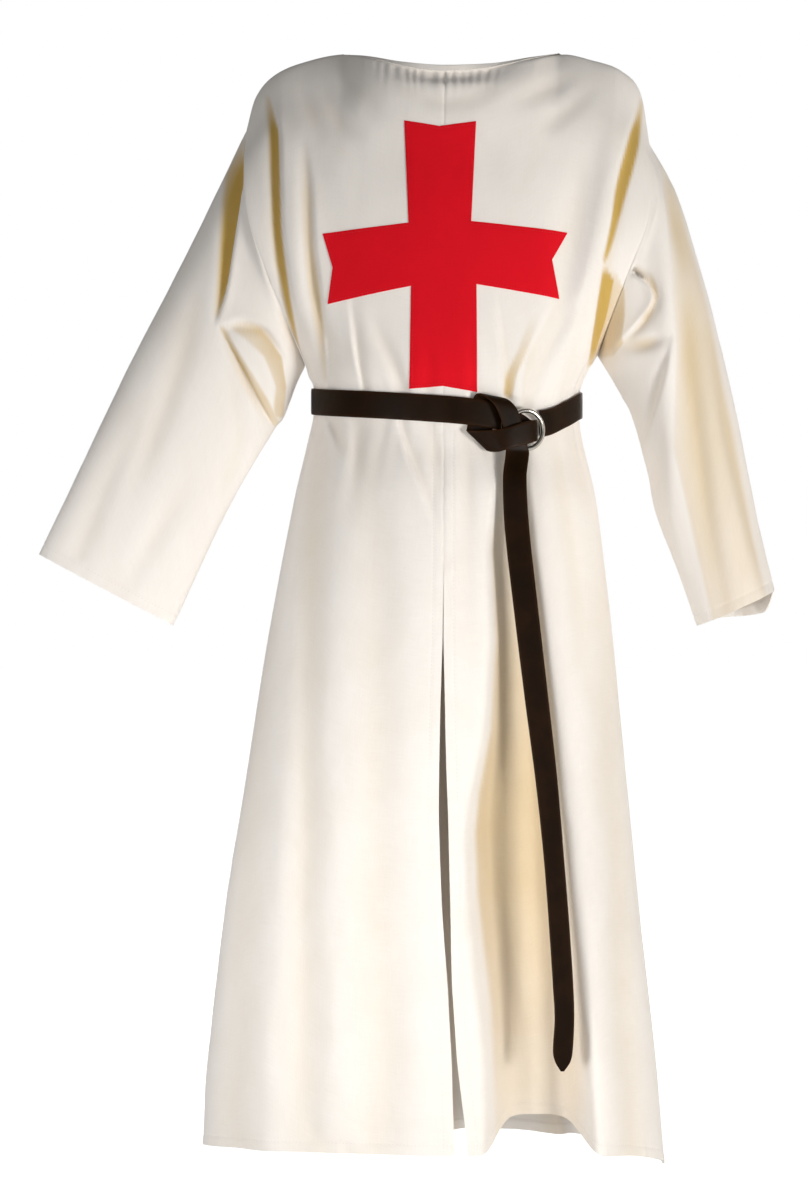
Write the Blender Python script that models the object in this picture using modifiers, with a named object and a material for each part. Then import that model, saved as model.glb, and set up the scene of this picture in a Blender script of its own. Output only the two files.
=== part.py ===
"""Medieval surcoat with a cross applique and a knotted ring belt, standing open as it is worn.

World frame in metres, +Z up. The wearer faces -Y and the wearer's left is at +X. The origin is
midway between the shoulders, at the height of the neck opening, where the wearer holds it up.
Cloth solids are thin walls lofted through the section tables below, which are in millimetres.
Every wall is cut with a mitre at its seams, so neighbours meet 0.3 mm apart and never cross.
"""
import math

import bmesh
import bpy
import numpy as np

MM = 0.001
CLOTH = 1.6            # wall of the cotton, with its seam allowances
LEATHER = 2.6          # thickness of the strap
STRAP_WIDTH = 32.0
SEAM_HALF = 0.15       # each piece stops this far short of a seam
BINDING = 6.0          # height of the neck binding
LIFT = 1.0             # clearance of what lies on a panel, for its facets
NECK_SHARE = 0.54      # the neckline runs over this share of each half of the top edge
FRONT_NECK = np.linspace(0, NECK_SHARE, 10)    # columns of the panels under the neckline
BACK_NECK = np.linspace(0, NECK_SHARE, 6)
SHOULDER = (0.575, 0.65, 0.73, 0.81, 0.89, 0.955, 1.0)
ARMHOLE_CELLS = 10
SLIT_TOP = -600.0
FRONT, BACK = -1, 1
LEFT, RIGHT = 1, -1    # the wearer's sides, as signs of X

# Top edge of both bodies: the shoulder seams and, between them, the neckline.
# share of the half width, x, y front, y back, z front, z back
TOP_EDGE = np.array((
    (-1.00, -245, 5, 5, -71, -71),
    (-0.93, -233, 5, 5, -30, -30),
    (-0.83, -210, 5, 5, -4, -4),
    (-0.68, -170, 5, 5, 13, 13),
    (-0.54, -129, 5, 5, 21, 21),
    (-0.40, -98, -38, 36, 12, 15),
    (-0.22, -55, -66, 57, 0, 10),
    (0.00, -4, -76, 65, -6, 7),
    (0.22, 52, -66, 57, -2, 10),
    (0.40, 104, -38, 36, 11, 15),
    (0.54, 139, 5, 5, 22, 22),
    (0.68, 174, 5, 5, 15, 15),
    (0.83, 213, 5, 5, 1, 1),
    (0.93, 236, 5, 5, -25, -25),
    (1.00, 247, 5, 5, -86, -86),
))

# Sections of the body from the yoke to the hem.
# station, x right seam, x centre, x left seam, z right seam, z front, z back, z left seam,
# y front edge, y front, y back edge, y back, roundness, share of the top edge's shape
SECTIONS = np.array((
    (0.035, -246, -4, 250, -92, -30, -22, -100, -20, -84, 26, 82, 0.00, 0.55),
    (0.065, -246, -5, 249, -120, -66, -60, -125, -42, -94, 48, 95, 0.00, 0.20),
    (0.100, -244, -6, 246, -155, -110, -108, -158, -58, -102, 66, 105, 0.00, 0.0),
    (0.140, -236, -6, 237, -198, -165, -165, -200, -66, -109, 78, 112, 0.00, 0.0),
    (0.180, -221, -6, 221, -243, -222, -222, -240, -64, -114, 76, 114, 0.10, 0.0),
    (0.220, -201, -6, 204, -292, -280, -280, -286, -48, -118, 56, 113, 0.45, 0.0),
    (0.250, -184, -6, 191, -330, -322, -320, -324, -18, -121, 32, 111, 0.80, 0.0),
    (0.272, -173, -6, 184, -357, -350, -345, -345, 10, -122, 10, 110, 1.00, 0.0),
    (0.285, -169, -6, 173, -371, -370, -360, -364, 10, -121, 10, 108, 1.00, 0.0),
    (0.300, -163, -6, 163, -384, -398, -376, -388, 10, -114, 10, 104, 1.00, 0.0),
    (0.325, -163, -6, 162, -418, -434, -412, -424, 10, -114, 10, 104, 1.00, 0.0),
    (0.345, -169, -6, 166, -446, -463, -442, -451, 10, -118, 10, 109, 1.00, 0.0),
    (0.390, -185, -6, 181, -515, -518, -515, -515, 10, -132, 10, 124, 1.00, 0.0),
    (0.460, -203, -6, 193, -605, -605, -605, -605, 10, -142, 10, 135, 1.00, 0.0),
    (0.550, -224, -7, 206, -722, -720, -720, -724, 10, -152, 10, 147, 1.00, 0.0),
    (0.660, -246, -7, 220, -864, -860, -862, -868, 10, -163, 10, 158, 1.00, 0.0),
    (0.780, -270, -3, 236, -1020, -1012, -1018, -1028, 10, -173, 10, 168, 1.00, 0.0),
    (0.900, -289, 5, 254, -1178, -1163, -1174, -1192, 10, -183, 10, 178, 1.00, 0.0),
    (1.000, -298, 14, 266, -1309, -1287, -1321, -1333, 10, -190, 10, 185, 1.00, 0.0),
))
ROLL_STATION = 0.012   # a row just below the top edge, where the shoulder rolls over
UNDERARM = 0.272
BELT_TOP, BELT_BOTTOM = 0.300, 0.325

# Pleats and large folds, pushed straight in. Each has the side it lies on, how square its
# trough is, and rows of (x, z, half width, depth); a negative depth is a ridge.
FOLDS = (
    ("recess under the belt tail", FRONT, 4, (
        (76, -440, 20, 0), (77, -500, 20, 10), (74, -586, 27, 26), (85, -700, 31, 38),
        (86, -800, 38, 50), (80, -922, 55, 62), (92, -1067, 58, 74), (106, -1171, 56, 86),
        (107, -1300, 56, 96))),
    ("front armhole, wearer's right", FRONT, 2, (
        (-214, -40, 14, 0), (-207, -100, 16, 9), (-200, -180, 16, 14), (-193, -250, 16, 14),
        (-180, -330, 14, 6), (-169, -370, 14, 0))),
    ("front armhole, wearer's left", FRONT, 2, (
        (231, -45, 14, 0), (226, -90, 16, 9), (208, -125, 17, 14), (190, -200, 18, 16),
        (182, -260, 17, 15), (170, -330, 15, 6), (165, -365, 14, 0))),
    ("under the knot", FRONT, 2, (
        (48, -430, 42, 0), (48, -445, 42, 5), (52, -466, 42, 6), (58, -500, 36, 0))),
    ("pleat over the belt, right side", FRONT, 2, (
        (-158, -290, 12, 0), (-146, -340, 12, 8), (-141, -386, 12, 6), (-148, -440, 14, 7),
        (-161, -549, 16, 9), (-167, -760, 22, 9), (-170, -1000, 24, 6), (-172, -1290, 24, 0))),
    ("pleat over the belt, left side", FRONT, 2, (
        (150, -296, 13, 0), (112, -346, 13, 8), (93, -400, 13, 6), (90, -430, 13, 0))),
    ("front right skirt", FRONT, 2, (
        (-92, -445, 16, 0), (-88, -560, 22, 6), (-84, -891, 30, 7), (-80, -1290, 34, 8))),
    ("front left skirt", FRONT, 2, (
        (196, -520, 16, 0), (200, -700, 18, 7), (210, -1000, 20, 9), (220, -1320, 22, 9))),
    ("back armhole, wearer's right", BACK, 2, (
        (-206, -60, 16, 0), (-198, -180, 18, 14), (-182, -300, 18, 12), (-168, -370, 16, 0))),
    ("back armhole, wearer's left", BACK, 2, (
        (210, -60, 16, 0), (202, -180, 18, 14), (186, -300, 18, 12), (170, -370, 16, 0))),
    ("back pleats, right", BACK, 2, (
        (-96, -300, 16, 0), (-86, -380, 15, 9), (-92, -450, 18, 11), (-118, -700, 26, 12),
        (-140, -1000, 34, 16), (-150, -1320, 38, 20))),
    ("back pleats, middle", BACK, 2, (
        (8, -300, 16, 0), (4, -380, 14, 8), (2, -450, 18, 10), (8, -700, 26, 12),
        (14, -1000, 34, 16), (16, -1320, 38, 18))),
    ("back pleats, left", BACK, 2, (
        (104, -300, 16, 0), (90, -380, 15, 9), (98, -450, 18, 11), (120, -700, 26, 12),
        (140, -1000, 32, 16), (150, -1320, 36, 18))),
)
SEAM_FADE = 0.10       # folds die out over this share of a panel's width beside its seams

# Middle of the strap round the waist: turn from the centre front over the wearer's left, z.
# It is lowest at the ring.
BELT_LINE = np.array((
    (-0.25, -401), (-0.15, -408), (-0.05, -415), (0.025, -421), (0.065, -427), (0.095, -433),
    (0.125, -433), (0.17, -420), (0.21, -410), (0.25, -406), (0.35, -399), (0.50, -394),
    (0.65, -397), (0.75, -401)))
BELT_SPREAD = 0.05     # how far up and down the body the strap's slant is felt, in stations

RECESS_RISE = 0.34     # the hem rises by this share of the recess's depth

# Half of the open slit at the centre front: z, half gap
SLIT_GAP = np.array((
    (-600, 0.0), (-760, 2.5), (-900, 5.5), (-1000, 5.0), (-1090, 2.6), (-1180, 3.2),
    (-1260, 7.0), (-1290, 8.0)))
SLIT_REACH = 0.08      # how far the slit's opening moves the panel, as a share of its width

# Rings of the sleeves after the armhole: station, outer edge x, y, z, inner edge x, y, z,
# half depth of the tube
SLEEVE_RINGS = {
    RIGHT: np.array((
        (0.14, -279, 3, -142, -183, 8, -378, 60),
        (0.32, -323, 0, -233, -199, 5, -420, 50),
        (0.52, -380, -5, -345, -214, 0, -440, 40),
        (0.76, -438, -12, -467, -266, -8, -532, 30),
        (1.00, -494, -20, -589, -332, -18, -675, 20))),
    LEFT: np.array((
        (0.14, 280, 3, -150, 197, 8, -366, 68),
        (0.32, 312, 0, -253, 213, 3, -395, 66),
        (0.52, 345, -4, -385, 228, 0, -428, 64),
        (0.76, 374, -10, -528, 262, -8, -552, 60),
        (1.00, 398, -18, -632, 303, -14, -675, 56))),
}

# The cross on the front: corners of its middle, then each arm's end as corner, notch, corner.
CROSS_MIDDLE = ((-47, -198), (27, -196), (33, -271), (-44, -273))
CROSS_ENDS = (
    ((-52, -75), (-10, -82), (33, -76)),
    ((142, -207), (123, -240), (132, -286)),
    ((34, -398), (-6, -391), (-46, -394)),
    ((-143, -292), (-137, -249), (-149, -209)),
)
CROSS_CELLS = 5

# The strap's knot, as its two edges beside the waist: x, height off the cloth, z of the
# edge that starts on top, then the same of the other edge.
KNOT = np.array((
    (62, 4.8, -411.5, 62, 4.8, -442.5),
    (76, 4.0, -418.0, 76, 4.0, -448.0),
    (90, 4.2, -425.5, 90, 4.2, -454.0),
    (95, 6.4, -430.0, 95, 6.4, -454.5),
    (97, 11.2, -430.5, 97, 11.2, -454.5),
    (96, 16.8, -430.5, 97, 16.8, -455.5),
    (90, 20.0, -431.5, 92, 20.0, -457.0),
    (80, 20.8, -434.0, 82, 20.8, -460.5),
    (66, 20.6, -439.5, 68, 20.6, -464.5),
    (53, 18.0, -443.0, 59, 18.4, -468.0),
    (38, 12.6, -444.0, 53, 13.4, -469.5),
    (27, 9.2, -444.0, 48, 9.4, -469.0),
    (21, 5.6, -443.5, 45, 5.6, -467.0),
    (22, 2.0, -440.0, 46, 2.0, -462.0),
    (25, 1.6, -424.0, 53, 1.6, -438.0),
    (28, 1.8, -407.0, 59, 1.8, -411.0),
    (31, 4.9, -398.4, 62, 4.9, -402.0),
    (35, 10.0, -397.8, 66, 10.0, -402.5),
    (42, 14.2, -402.0, 71, 14.2, -408.0),
    (50, 15.6, -414.0, 76, 15.6, -420.0),
    (57, 15.8, -430.0, 81, 15.8, -436.0),
    (61, 15.8, -448.0, 85, 15.8, -452.0),
    (63, 15.0, -468.0, 89, 15.0, -470.0),
))
# The hanging tail: left edge x, right edge x, y, z
TAIL = np.array((
    (64, 92, -126, -500), (66, 95, -131, -560), (75, 104, -137, -644), (89, 117, -142, -760),
    (101, 127, -147, -852), (110, 134, -152, -937), (116, 140, -156, -1014),
    (121, 145, -160, -1093), (123, 146, -162, -1132), (121, 144, -163, -1171),
    (124, 141, -163, -1183), (130, 134, -163, -1193),
))
# Height of the waist strap off the cloth, from the ring's side round the back to the knot:
# turn about the waist in shares of a circle, height
STRAP_HEIGHT = np.array((
    (0.13, 4.0), (0.16, 1.8), (0.50, 1.8), (0.98, 1.8), (1.012, 4.9), (1.07, 4.9)))
STRAP_START, STRAP_END = 0.1335, 1.0645

RING_X, RING_Z, RING_HEIGHT = 88.0, -442.0, 9.3
RING_RADIUS, RING_WIRE = 22.8, 3.0


def hermite(stations, values, at, steady=False):
    """Smooth curve through the values: a cubic between each two stations, whose slope at a
    station is that between its two neighbours. The values are numbers, or grids like at.
    A steady curve never swings past its values: its slope is held to twice the smaller of
    the slopes on either side, and is level at a turning point."""
    stations = np.asarray(stations, float)
    values = np.asarray(values, float)
    slopes = np.empty_like(values)
    span = (stations[2:] - stations[:-2]).reshape((-1,) + (1,) * (values.ndim - 1))
    slopes[1:-1] = (values[2:] - values[:-2]) / span
    slopes[0] = (values[1] - values[0]) / (stations[1] - stations[0])
    slopes[-1] = (values[-1] - values[-2]) / (stations[-1] - stations[-2])
    if steady:
        sides = np.diff(values) / np.diff(stations)
        least = np.minimum(np.abs(sides[:-1]), np.abs(sides[1:]))
        same_way = sides[:-1] * sides[1:] > 0
        slopes[1:-1] = np.where(same_way, np.clip(slopes[1:-1], -2 * least, 2 * least), 0)
    at = np.clip(at, stations[0], stations[-1])
    low = np.clip(np.searchsorted(stations, at, side="right") - 1, 0, len(stations) - 2)
    width = stations[low + 1] - stations[low]
    t = (at - stations[low]) / width
    blend = (2 * t**3 - 3 * t**2 + 1, (t**3 - 2 * t**2 + t) * width,
             3 * t**2 - 2 * t**3, (t**3 - t**2) * width)
    if values.ndim == 1:
        picks = (values[low], slopes[low], values[low + 1], slopes[low + 1])
    else:
        cell = np.indices(at.shape)
        picks = (values[(low, *cell)], slopes[(low, *cell)],
                 values[(low + 1, *cell)], slopes[(low + 1, *cell)])
    return sum(weight * pick for weight, pick in zip(blend, picks))


def curve(rows, at):
    """Smooth curve through the rows of a table, one row for each whole number."""
    return np.stack([hermite(np.arange(len(rows)), column, at) for column in rows.T], -1)


def unit(vectors):
    """Each vector divided by its length."""
    return vectors / np.maximum(np.linalg.norm(vectors, axis=-1, keepdims=True), 1e-9)


def top_edge(side, share):
    """Point of the top edge at a share of the half width, for the front or the back."""
    columns = (1, 2, 4) if side == FRONT else (1, 3, 5)
    return np.stack([hermite(TOP_EDGE[:, 0], TOP_EDGE[:, c], share, steady=True)
                     for c in columns], -1)


def fold_depth(side, x, z):
    """Sum over the folds of depth * exp(-|distance from the fold's line / half width|^p)."""
    depth = np.zeros_like(x)
    recess = np.zeros_like(x)
    for name, fold_side, power, rows in FOLDS:
        if fold_side != side:
            continue
        rows = np.array(rows, float)[::-1]
        line, width, deep = (np.interp(z, rows[:, 1], rows[:, c]) for c in (0, 2, 3))
        deep = np.where(z > rows[-1, 1], 0.0, deep)
        trough = deep * np.exp(-np.abs((x - line) / width) ** power)
        depth += trough
        if name.startswith("recess"):
            recess = trough
    return depth, recess


def belt_slant(side, share):
    """How far the strap's line lies above the body's own belt sections."""
    middle = (SECTIONS[SECTIONS[:, 0] == BELT_TOP][0]
              + SECTIONS[SECTIONS[:, 0] == BELT_BOTTOM][0]) / 2
    z_seam = np.where(share < 0, middle[4], middle[7])
    z_mid = middle[5] if side == FRONT else middle[6]
    turn = share / 4 if side == FRONT else 0.5 - share / 4
    return hermite(BELT_LINE[:, 0], BELT_LINE[:, 1], turn) - (
        z_mid + (z_seam - z_mid) * share**2)


def body(side, share, station):
    """Point of the front or back cloth. share runs from -1 at the right seam to 1 at the left
    one, station from 0 at the top to 1 at the hem. Each section is a bow between its seams
    that turns into half an ellipse with its roundness, and the cloth is a smooth loft
    through the sections, pushed in along Y by its folds."""
    share, station = np.broadcast_arrays(np.asarray(share, float), np.asarray(station, float))
    top = top_edge(side, share)
    shoulder = np.clip((np.abs(share) - 0.1) / (NECK_SHARE - 0.1), 0, 1)
    tip = np.clip((np.abs(share) - 0.8) / 0.2, 0, 1)
    rows = [top, top + np.stack([0 * share, side * (3 + 17 * shoulder - 9 * tip),
                                 -(12 - 7 * shoulder)], -1)]
    away = np.abs(share)
    for (_, x_right, x_mid, x_left, z_right, z_front, z_back, z_left,
         edge_front, y_front, edge_back, y_back, roundness, top_share) in SECTIONS:
        x_seam = np.where(share < 0, x_right, x_left)
        z_seam = np.where(share < 0, z_right, z_left)
        y_seam, y_mid, z_mid = ((edge_front, y_front, z_front) if side == FRONT
                                else (edge_back, y_back, z_back))
        across = (1 - roundness) * away + roundness * np.sin(away * math.pi / 2)
        bow = (1 - roundness) * (1 - away**2) + roundness * np.cos(away * math.pi / 2)
        row = np.stack([x_mid + (x_seam - x_mid) * across,
                        y_seam + (y_mid - y_seam) * bow,
                        z_mid + (z_seam - z_mid) * away**2], -1)
        shifted = top + np.stack([0 * share, y_seam - 5 + side * 20 * shoulder * (1 - tip),
                                  -26 + 0 * share], -1)
        rows.append((1 - top_share) * row + top_share * shifted)
    stations = np.concatenate([(0, ROLL_STATION), SECTIONS[:, 0]])
    points = np.stack([hermite(stations, np.stack([row[..., c] for row in rows]), station)
                       for c in range(3)], -1)
    points[..., 2] += belt_slant(side, share) * np.exp(
        -((station - (BELT_TOP + BELT_BOTTOM) / 2) / BELT_SPREAD) ** 2)
    depth, recess = fold_depth(side, points[..., 0], points[..., 2])
    beside_seam = np.clip((1 - np.abs(share)) / SEAM_FADE, 0, 1)
    depth *= beside_seam**2 * (3 - 2 * beside_seam)
    points[..., 1] -= side * depth
    below = np.clip((station - BELT_BOTTOM) / (1 - BELT_BOTTOM), 0, 1)
    points[..., 2] += RECESS_RISE * recess * below
    return points


def front_slit(points, share, panel_side):
    """Move a front panel's points off the centre by the slit's half gap, fading outwards."""
    gap = np.interp(-points[..., 2], -SLIT_GAP[:, 0], SLIT_GAP[:, 1])
    points[..., 0] += panel_side * gap * np.exp(-np.abs(share) / SLIT_REACH)
    return points


def sleeve(side, turn, station):
    """Point of a sleeve. turn runs round the tube in shares of a circle from the shoulder
    over the front, station from 0 at the armhole to 1 at the cuff. It is a smooth loft from
    the armhole's edge on the body through ellipses: centre + W cos(turn) + D sin(turn)."""
    turn, station = np.broadcast_arrays(np.asarray(turn, float), np.asarray(station, float))
    angle = turn * 2 * math.pi
    drop = UNDERARM * (1 - np.cos(angle)) / 2
    in_front = (np.mod(turn, 1.0) <= 0.5)[..., None]
    rows = [np.where(in_front, body(FRONT, side + 0 * turn, drop),
                     body(BACK, side + 0 * turn, drop))]
    for ring in SLEEVE_RINGS[side]:
        outer, inner = ring[1:4], ring[4:7]
        centre, half = (outer + inner) / 2, (outer - inner) / 2
        forward = unit(np.cross(half, np.cross((0, -1, 0), half)))
        rows.append(centre + half * np.cos(angle)[..., None]
                    + ring[7] * forward * np.sin(angle)[..., None])
    stations = np.concatenate([(0,), SLEEVE_RINGS[side][:, 0]])
    return np.stack([hermite(stations, np.stack([row[..., c] for row in rows]), station)
                     for c in range(3)], -1)


def normals(surface, first, second, outwards, step=1e-3):
    """Unit normals of surface(first, second): the cross product of its two slopes."""
    along = surface(first + step, second) - surface(first - step, second)
    down = surface(first, second + step) - surface(first, np.maximum(second - step, 0))
    return unit(np.cross(along, down)) * outwards


def add_material(name, colour, roughness, metallic=0.0):
    """Principled material with one colour, roughness and metallic value."""
    material = bpy.data.materials.new(name)
    material.use_nodes = True
    shader = material.node_tree.nodes["Principled BSDF"]
    shader.inputs["Base Color"].default_value = (*colour, 1.0)
    shader.inputs["Roughness"].default_value = roughness
    shader.inputs["Metallic"].default_value = metallic
    return material


def add_object(name, mesh, material, collection):
    """Put a mesh in the collection as one object with one material."""
    if mesh.materials:
        mesh.materials[0] = material
    else:
        mesh.materials.append(material)
    piece = bpy.data.objects.new(name, mesh)
    collection.objects.link(piece)
    return piece


def cloth_wall(name, outer, outward, thickness, round_tube):
    """Closed wall between a grid of outer points and the same grid moved in along its
    normals. Each cell is cut along its shorter diagonal, the same one on both sides of the
    wall, so that the two never cross. round_tube joins the last column to the first."""
    rows, columns = outer.shape[:2]
    inner = outer - outward * thickness
    count = rows * columns
    cells_across = columns if round_tube else columns - 1
    r, c = np.meshgrid(np.arange(rows - 1), np.arange(cells_across), indexing="ij")
    c_next = (c + 1) % columns
    quad = np.stack([r * columns + c, (r + 1) * columns + c,
                     (r + 1) * columns + c_next, r * columns + c_next], -1).reshape(-1, 4)
    corner = outer.reshape(-1, 3)[quad]
    spans = [np.linalg.norm(corner[:, k] - corner[:, k + 2], axis=-1) for k in (0, 1)]
    quad = np.where((spans[1] < spans[0])[:, None], np.roll(quad, -1, axis=1), quad)
    halves = np.concatenate([quad[:, (0, 1, 2)], quad[:, (0, 2, 3)]])
    faces = [*halves.tolist(), *(halves[:, ::-1] + count).tolist()]
    c = np.arange(cells_across)
    c_next = (c + 1) % columns
    for row, flip in ((0, 1), (rows - 1, -1)):
        rim = np.stack([row * columns + c, row * columns + c_next,
                        row * columns + c_next + count, row * columns + c + count], -1)
        faces += rim[:, ::flip].tolist()
    if not round_tube:
        r = np.arange(rows - 1)
        for column, flip in ((0, -1), (columns - 1, 1)):
            rim = np.stack([r * columns + column, (r + 1) * columns + column,
                            (r + 1) * columns + column + count, r * columns + column + count], -1)
            faces += rim[:, ::-flip].tolist()
    vertices = np.concatenate([outer.reshape(-1, 3), inner.reshape(-1, 3)]) * MM
    mesh = bpy.data.meshes.new(name)
    mesh.from_pydata(vertices.tolist(), [], faces)
    tidy = bmesh.new()
    tidy.from_mesh(mesh)
    bmesh.ops.recalc_face_normals(tidy, faces=tidy.faces)
    tidy.to_mesh(mesh)
    tidy.free()
    mesh.shade_smooth()
    mesh.set_sharp_from_angle(angle=math.radians(50))
    return mesh


def pull_in(grid, row=None, column=None):
    """Move one edge of a grid towards its neighbour, to leave half of a seam's gap."""
    if row is not None:
        beside = 1 if row == 0 else -2
        grid[row] += unit(grid[beside] - grid[row]) * SEAM_HALF
    if column is not None:
        beside = 1 if column == 0 else -2
        grid[:, column] += unit(grid[:, beside] - grid[:, column]) * SEAM_HALF


def armhole_mitre(side):
    """Outward directions of the body's edge and of the sleeve's ring at the armhole seam, all
    round it. They are the same where the seam is a ridge, so that the walls don't cross, and
    each cloth's own where it is a valley, as at the underarm."""
    cells = np.arange(2 * ARMHOLE_CELLS) / (2 * ARMHOLE_CELLS)
    drop = UNDERARM * (1 - np.cos(cells * 2 * math.pi)) / 2
    tube = normals(lambda a, b: sleeve(side, a, b), cells, 0 * cells + 0.004, side)
    share = side * (1 - 0.004) + 0 * cells
    front = normals(lambda a, b: body(FRONT, a, b), share, np.maximum(drop, 0.004), FRONT)
    back = normals(lambda a, b: body(BACK, a, b), share, np.maximum(drop, 0.004), BACK)
    cloth = np.where((cells <= 0.5)[:, None], front, back)
    away = unit(sleeve(side, cells, 0.04 + 0 * cells) - sleeve(side, cells, 0 * cells))
    agree = np.clip(0.5 - 5 * np.sum(away * cloth, -1, keepdims=True), 0, 1)
    on_body = unit(cloth + agree * tube)
    on_tube = unit(tube + agree * cloth)
    return on_body, on_tube


def panel_grid(side, shares, lower_stations, panel_side=0):
    """Outer points and outward directions of a body panel between two shares of its width."""
    drop = UNDERARM * (1 - np.cos(np.arange(ARMHOLE_CELLS + 1) / ARMHOLE_CELLS * math.pi)) / 2
    stations = np.concatenate([drop, lower_stations])
    share, station = np.meshgrid(shares, stations)
    neck = np.clip((NECK_SHARE + 0.03 - np.abs(share)) / 0.03, 0, 1)
    height = np.linalg.norm(body(side, share[0], 0.02) - body(side, share[0], 0.0), axis=-1)
    start = neck[0] * 0.02 * (BINDING + 2 * SEAM_HALF) / height
    station = np.where(station < UNDERARM, start + station * (UNDERARM - start) / UNDERARM, station)

    def surface(a, b):
        points = body(side, a, b)
        return front_slit(points, a, panel_side) if panel_side else points

    inside = np.clip(share, -0.998, 0.998)
    outward = normals(surface, inside, np.maximum(station, 0.002), side)
    points = surface(share, station)
    outward[0] = np.where(neck[0][:, None] < 0.5, (0, 0, 1), outward[0])
    for column, seam in ((0, RIGHT), (-1, LEFT)):
        if abs(shares[column]) < 1:
            continue
        on_body, _ = armhole_mitre(seam)
        half = ARMHOLE_CELLS
        ring = on_body[:half + 1] if side == FRONT else np.roll(on_body[::-1], 1, 0)[:half + 1]
        outward[:half + 1, column] = ring
        outward[half:, column] = unit(outward[half:, column] * (1, 0, 1))
    pull_in(points, row=0)
    pull_in(points, column=0)
    pull_in(points, column=-1)
    return points, outward


def waist(turn, height, z):
    """Point beside the belted waist: an ellipse through the belt's section, at a turn in
    shares of a circle from the centre front over the wearer's left, moved off by height."""
    level = SECTIONS[SECTIONS[:, 0] == BELT_TOP][0]
    angle = np.asarray(turn, float) * 2 * math.pi
    half_x = np.where(np.sin(angle) < 0, level[2] - level[1], level[3] - level[2])
    edge = level[8]
    half_y = np.where(np.cos(angle) > 0, edge - level[9], level[11] - edge)
    x = level[2] + half_x * np.sin(angle)
    y = edge - half_y * np.cos(angle)
    out = unit(np.stack([np.sin(angle) / half_x, -np.cos(angle) / half_y, 0 * angle], -1))
    return np.stack([x, y, z + 0 * angle], -1) + out * np.asarray(height, float)[..., None]


def beside_waist(columns):
    """World points from rows of x, height off the cloth and z at the front of the waist."""
    level = SECTIONS[SECTIONS[:, 0] == BELT_TOP][0]
    half_x = level[3] - level[2]
    turn = np.arcsin(np.clip((columns[:, 0] - level[2]) / half_x, -1, 1)) / (2 * math.pi)
    return waist(turn, columns[:, 1], columns[:, 2])


def ribbon(name, upper, lower, thickness):
    """Strap of rectangular section between two edge curves, with closed ends."""
    along = np.gradient((upper + lower) / 2, axis=0)
    face = unit(np.cross(along, lower - upper)) * thickness / 2
    ring = np.stack([upper + face, lower + face, lower - face, upper - face], 1)
    stations, corners = ring.shape[:2]
    s, k = np.meshgrid(np.arange(stations - 1), np.arange(corners), indexing="ij")
    k_next = (k + 1) % corners
    walls = np.stack([s * corners + k, s * corners + k_next,
                      (s + 1) * corners + k_next, (s + 1) * corners + k], -1).reshape(-1, 4)
    last = (stations - 1) * corners
    ends = [[3, 2, 1, 0], [last, last + 1, last + 2, last + 3]]
    mesh = bpy.data.meshes.new(name)
    mesh.from_pydata((ring.reshape(-1, 3) * MM).tolist(), [], walls.tolist() + ends)
    tidy = bmesh.new()
    tidy.from_mesh(mesh)
    bmesh.ops.recalc_face_normals(tidy, faces=tidy.faces)
    tidy.to_mesh(mesh)
    tidy.free()
    return mesh


def front_depth(x, z):
    """Y of the front cloth straight behind each (x, z), by stepping share and station."""
    share, station = (x + 6) / 240.0, (-z) / 1300.0
    for _ in range(25):
        points = body(FRONT, share, station)
        share = np.clip(share + (x - points[..., 0]) / 240.0, -1, 1)
        station = np.clip(station + (points[..., 2] - z) / 1300.0, 0, 1)
    return body(FRONT, share, station)[..., 1]


def build_front_panels(cotton, collection):
    """Two fronts, joined down the centre to the slit, each with a neck, shoulder and side."""
    shares = np.concatenate([FRONT_NECK, SHOULDER])
    lower = np.array((.285, .300, .325, .345, .385, .44, .50, .58, .66, .75, .84, .92, 1))
    for name, panel_side in (("front_panel_left", LEFT), ("front_panel_right", RIGHT)):
        columns = shares if panel_side == LEFT else -shares[::-1]
        outer, outward = panel_grid(FRONT, columns, lower, panel_side)
        add_object(name, cloth_wall(name, outer, outward, CLOTH, False), cotton, collection)


def build_back_panel(cotton, collection):
    """One back, from armhole to armhole and side to side."""
    half = np.concatenate([BACK_NECK, SHOULDER])
    lower = np.array((.285, .300, .325, .345, .385, .45, .53, .63, .74, .87, 1))
    outer, outward = panel_grid(BACK, np.concatenate([-half[:0:-1], half]), lower)
    add_object("back_panel", cloth_wall("back_panel", outer, outward, CLOTH, False),
               cotton, collection)


def build_sleeves(cotton, collection):
    """Two sleeves, each a tube from its armhole to its open cuff."""
    stations = np.array((0, .05, .12, .20, .29, .38, .48, .60, .73, .87, 1))
    turns = np.arange(2 * ARMHOLE_CELLS) / (2 * ARMHOLE_CELLS)
    for name, side in (("sleeve_left", LEFT), ("sleeve_right", RIGHT)):
        turn, station = np.meshgrid(turns, stations)
        outer = sleeve(side, turn, station)
        outward = normals(lambda a, b: sleeve(side, a, b), turn, np.maximum(station, .004), side)
        outward[0] = armhole_mitre(side)[1]
        seam = unit(np.roll(outer[0], -1, 0) - np.roll(outer[0], 1, 0))
        away = outer[1] - outer[0]
        away -= seam * np.sum(away * seam, -1, keepdims=True)
        outer[0] += unit(away) * 2 * SEAM_HALF
        add_object(name, cloth_wall(name, outer, outward, CLOTH, True), cotton, collection)


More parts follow.
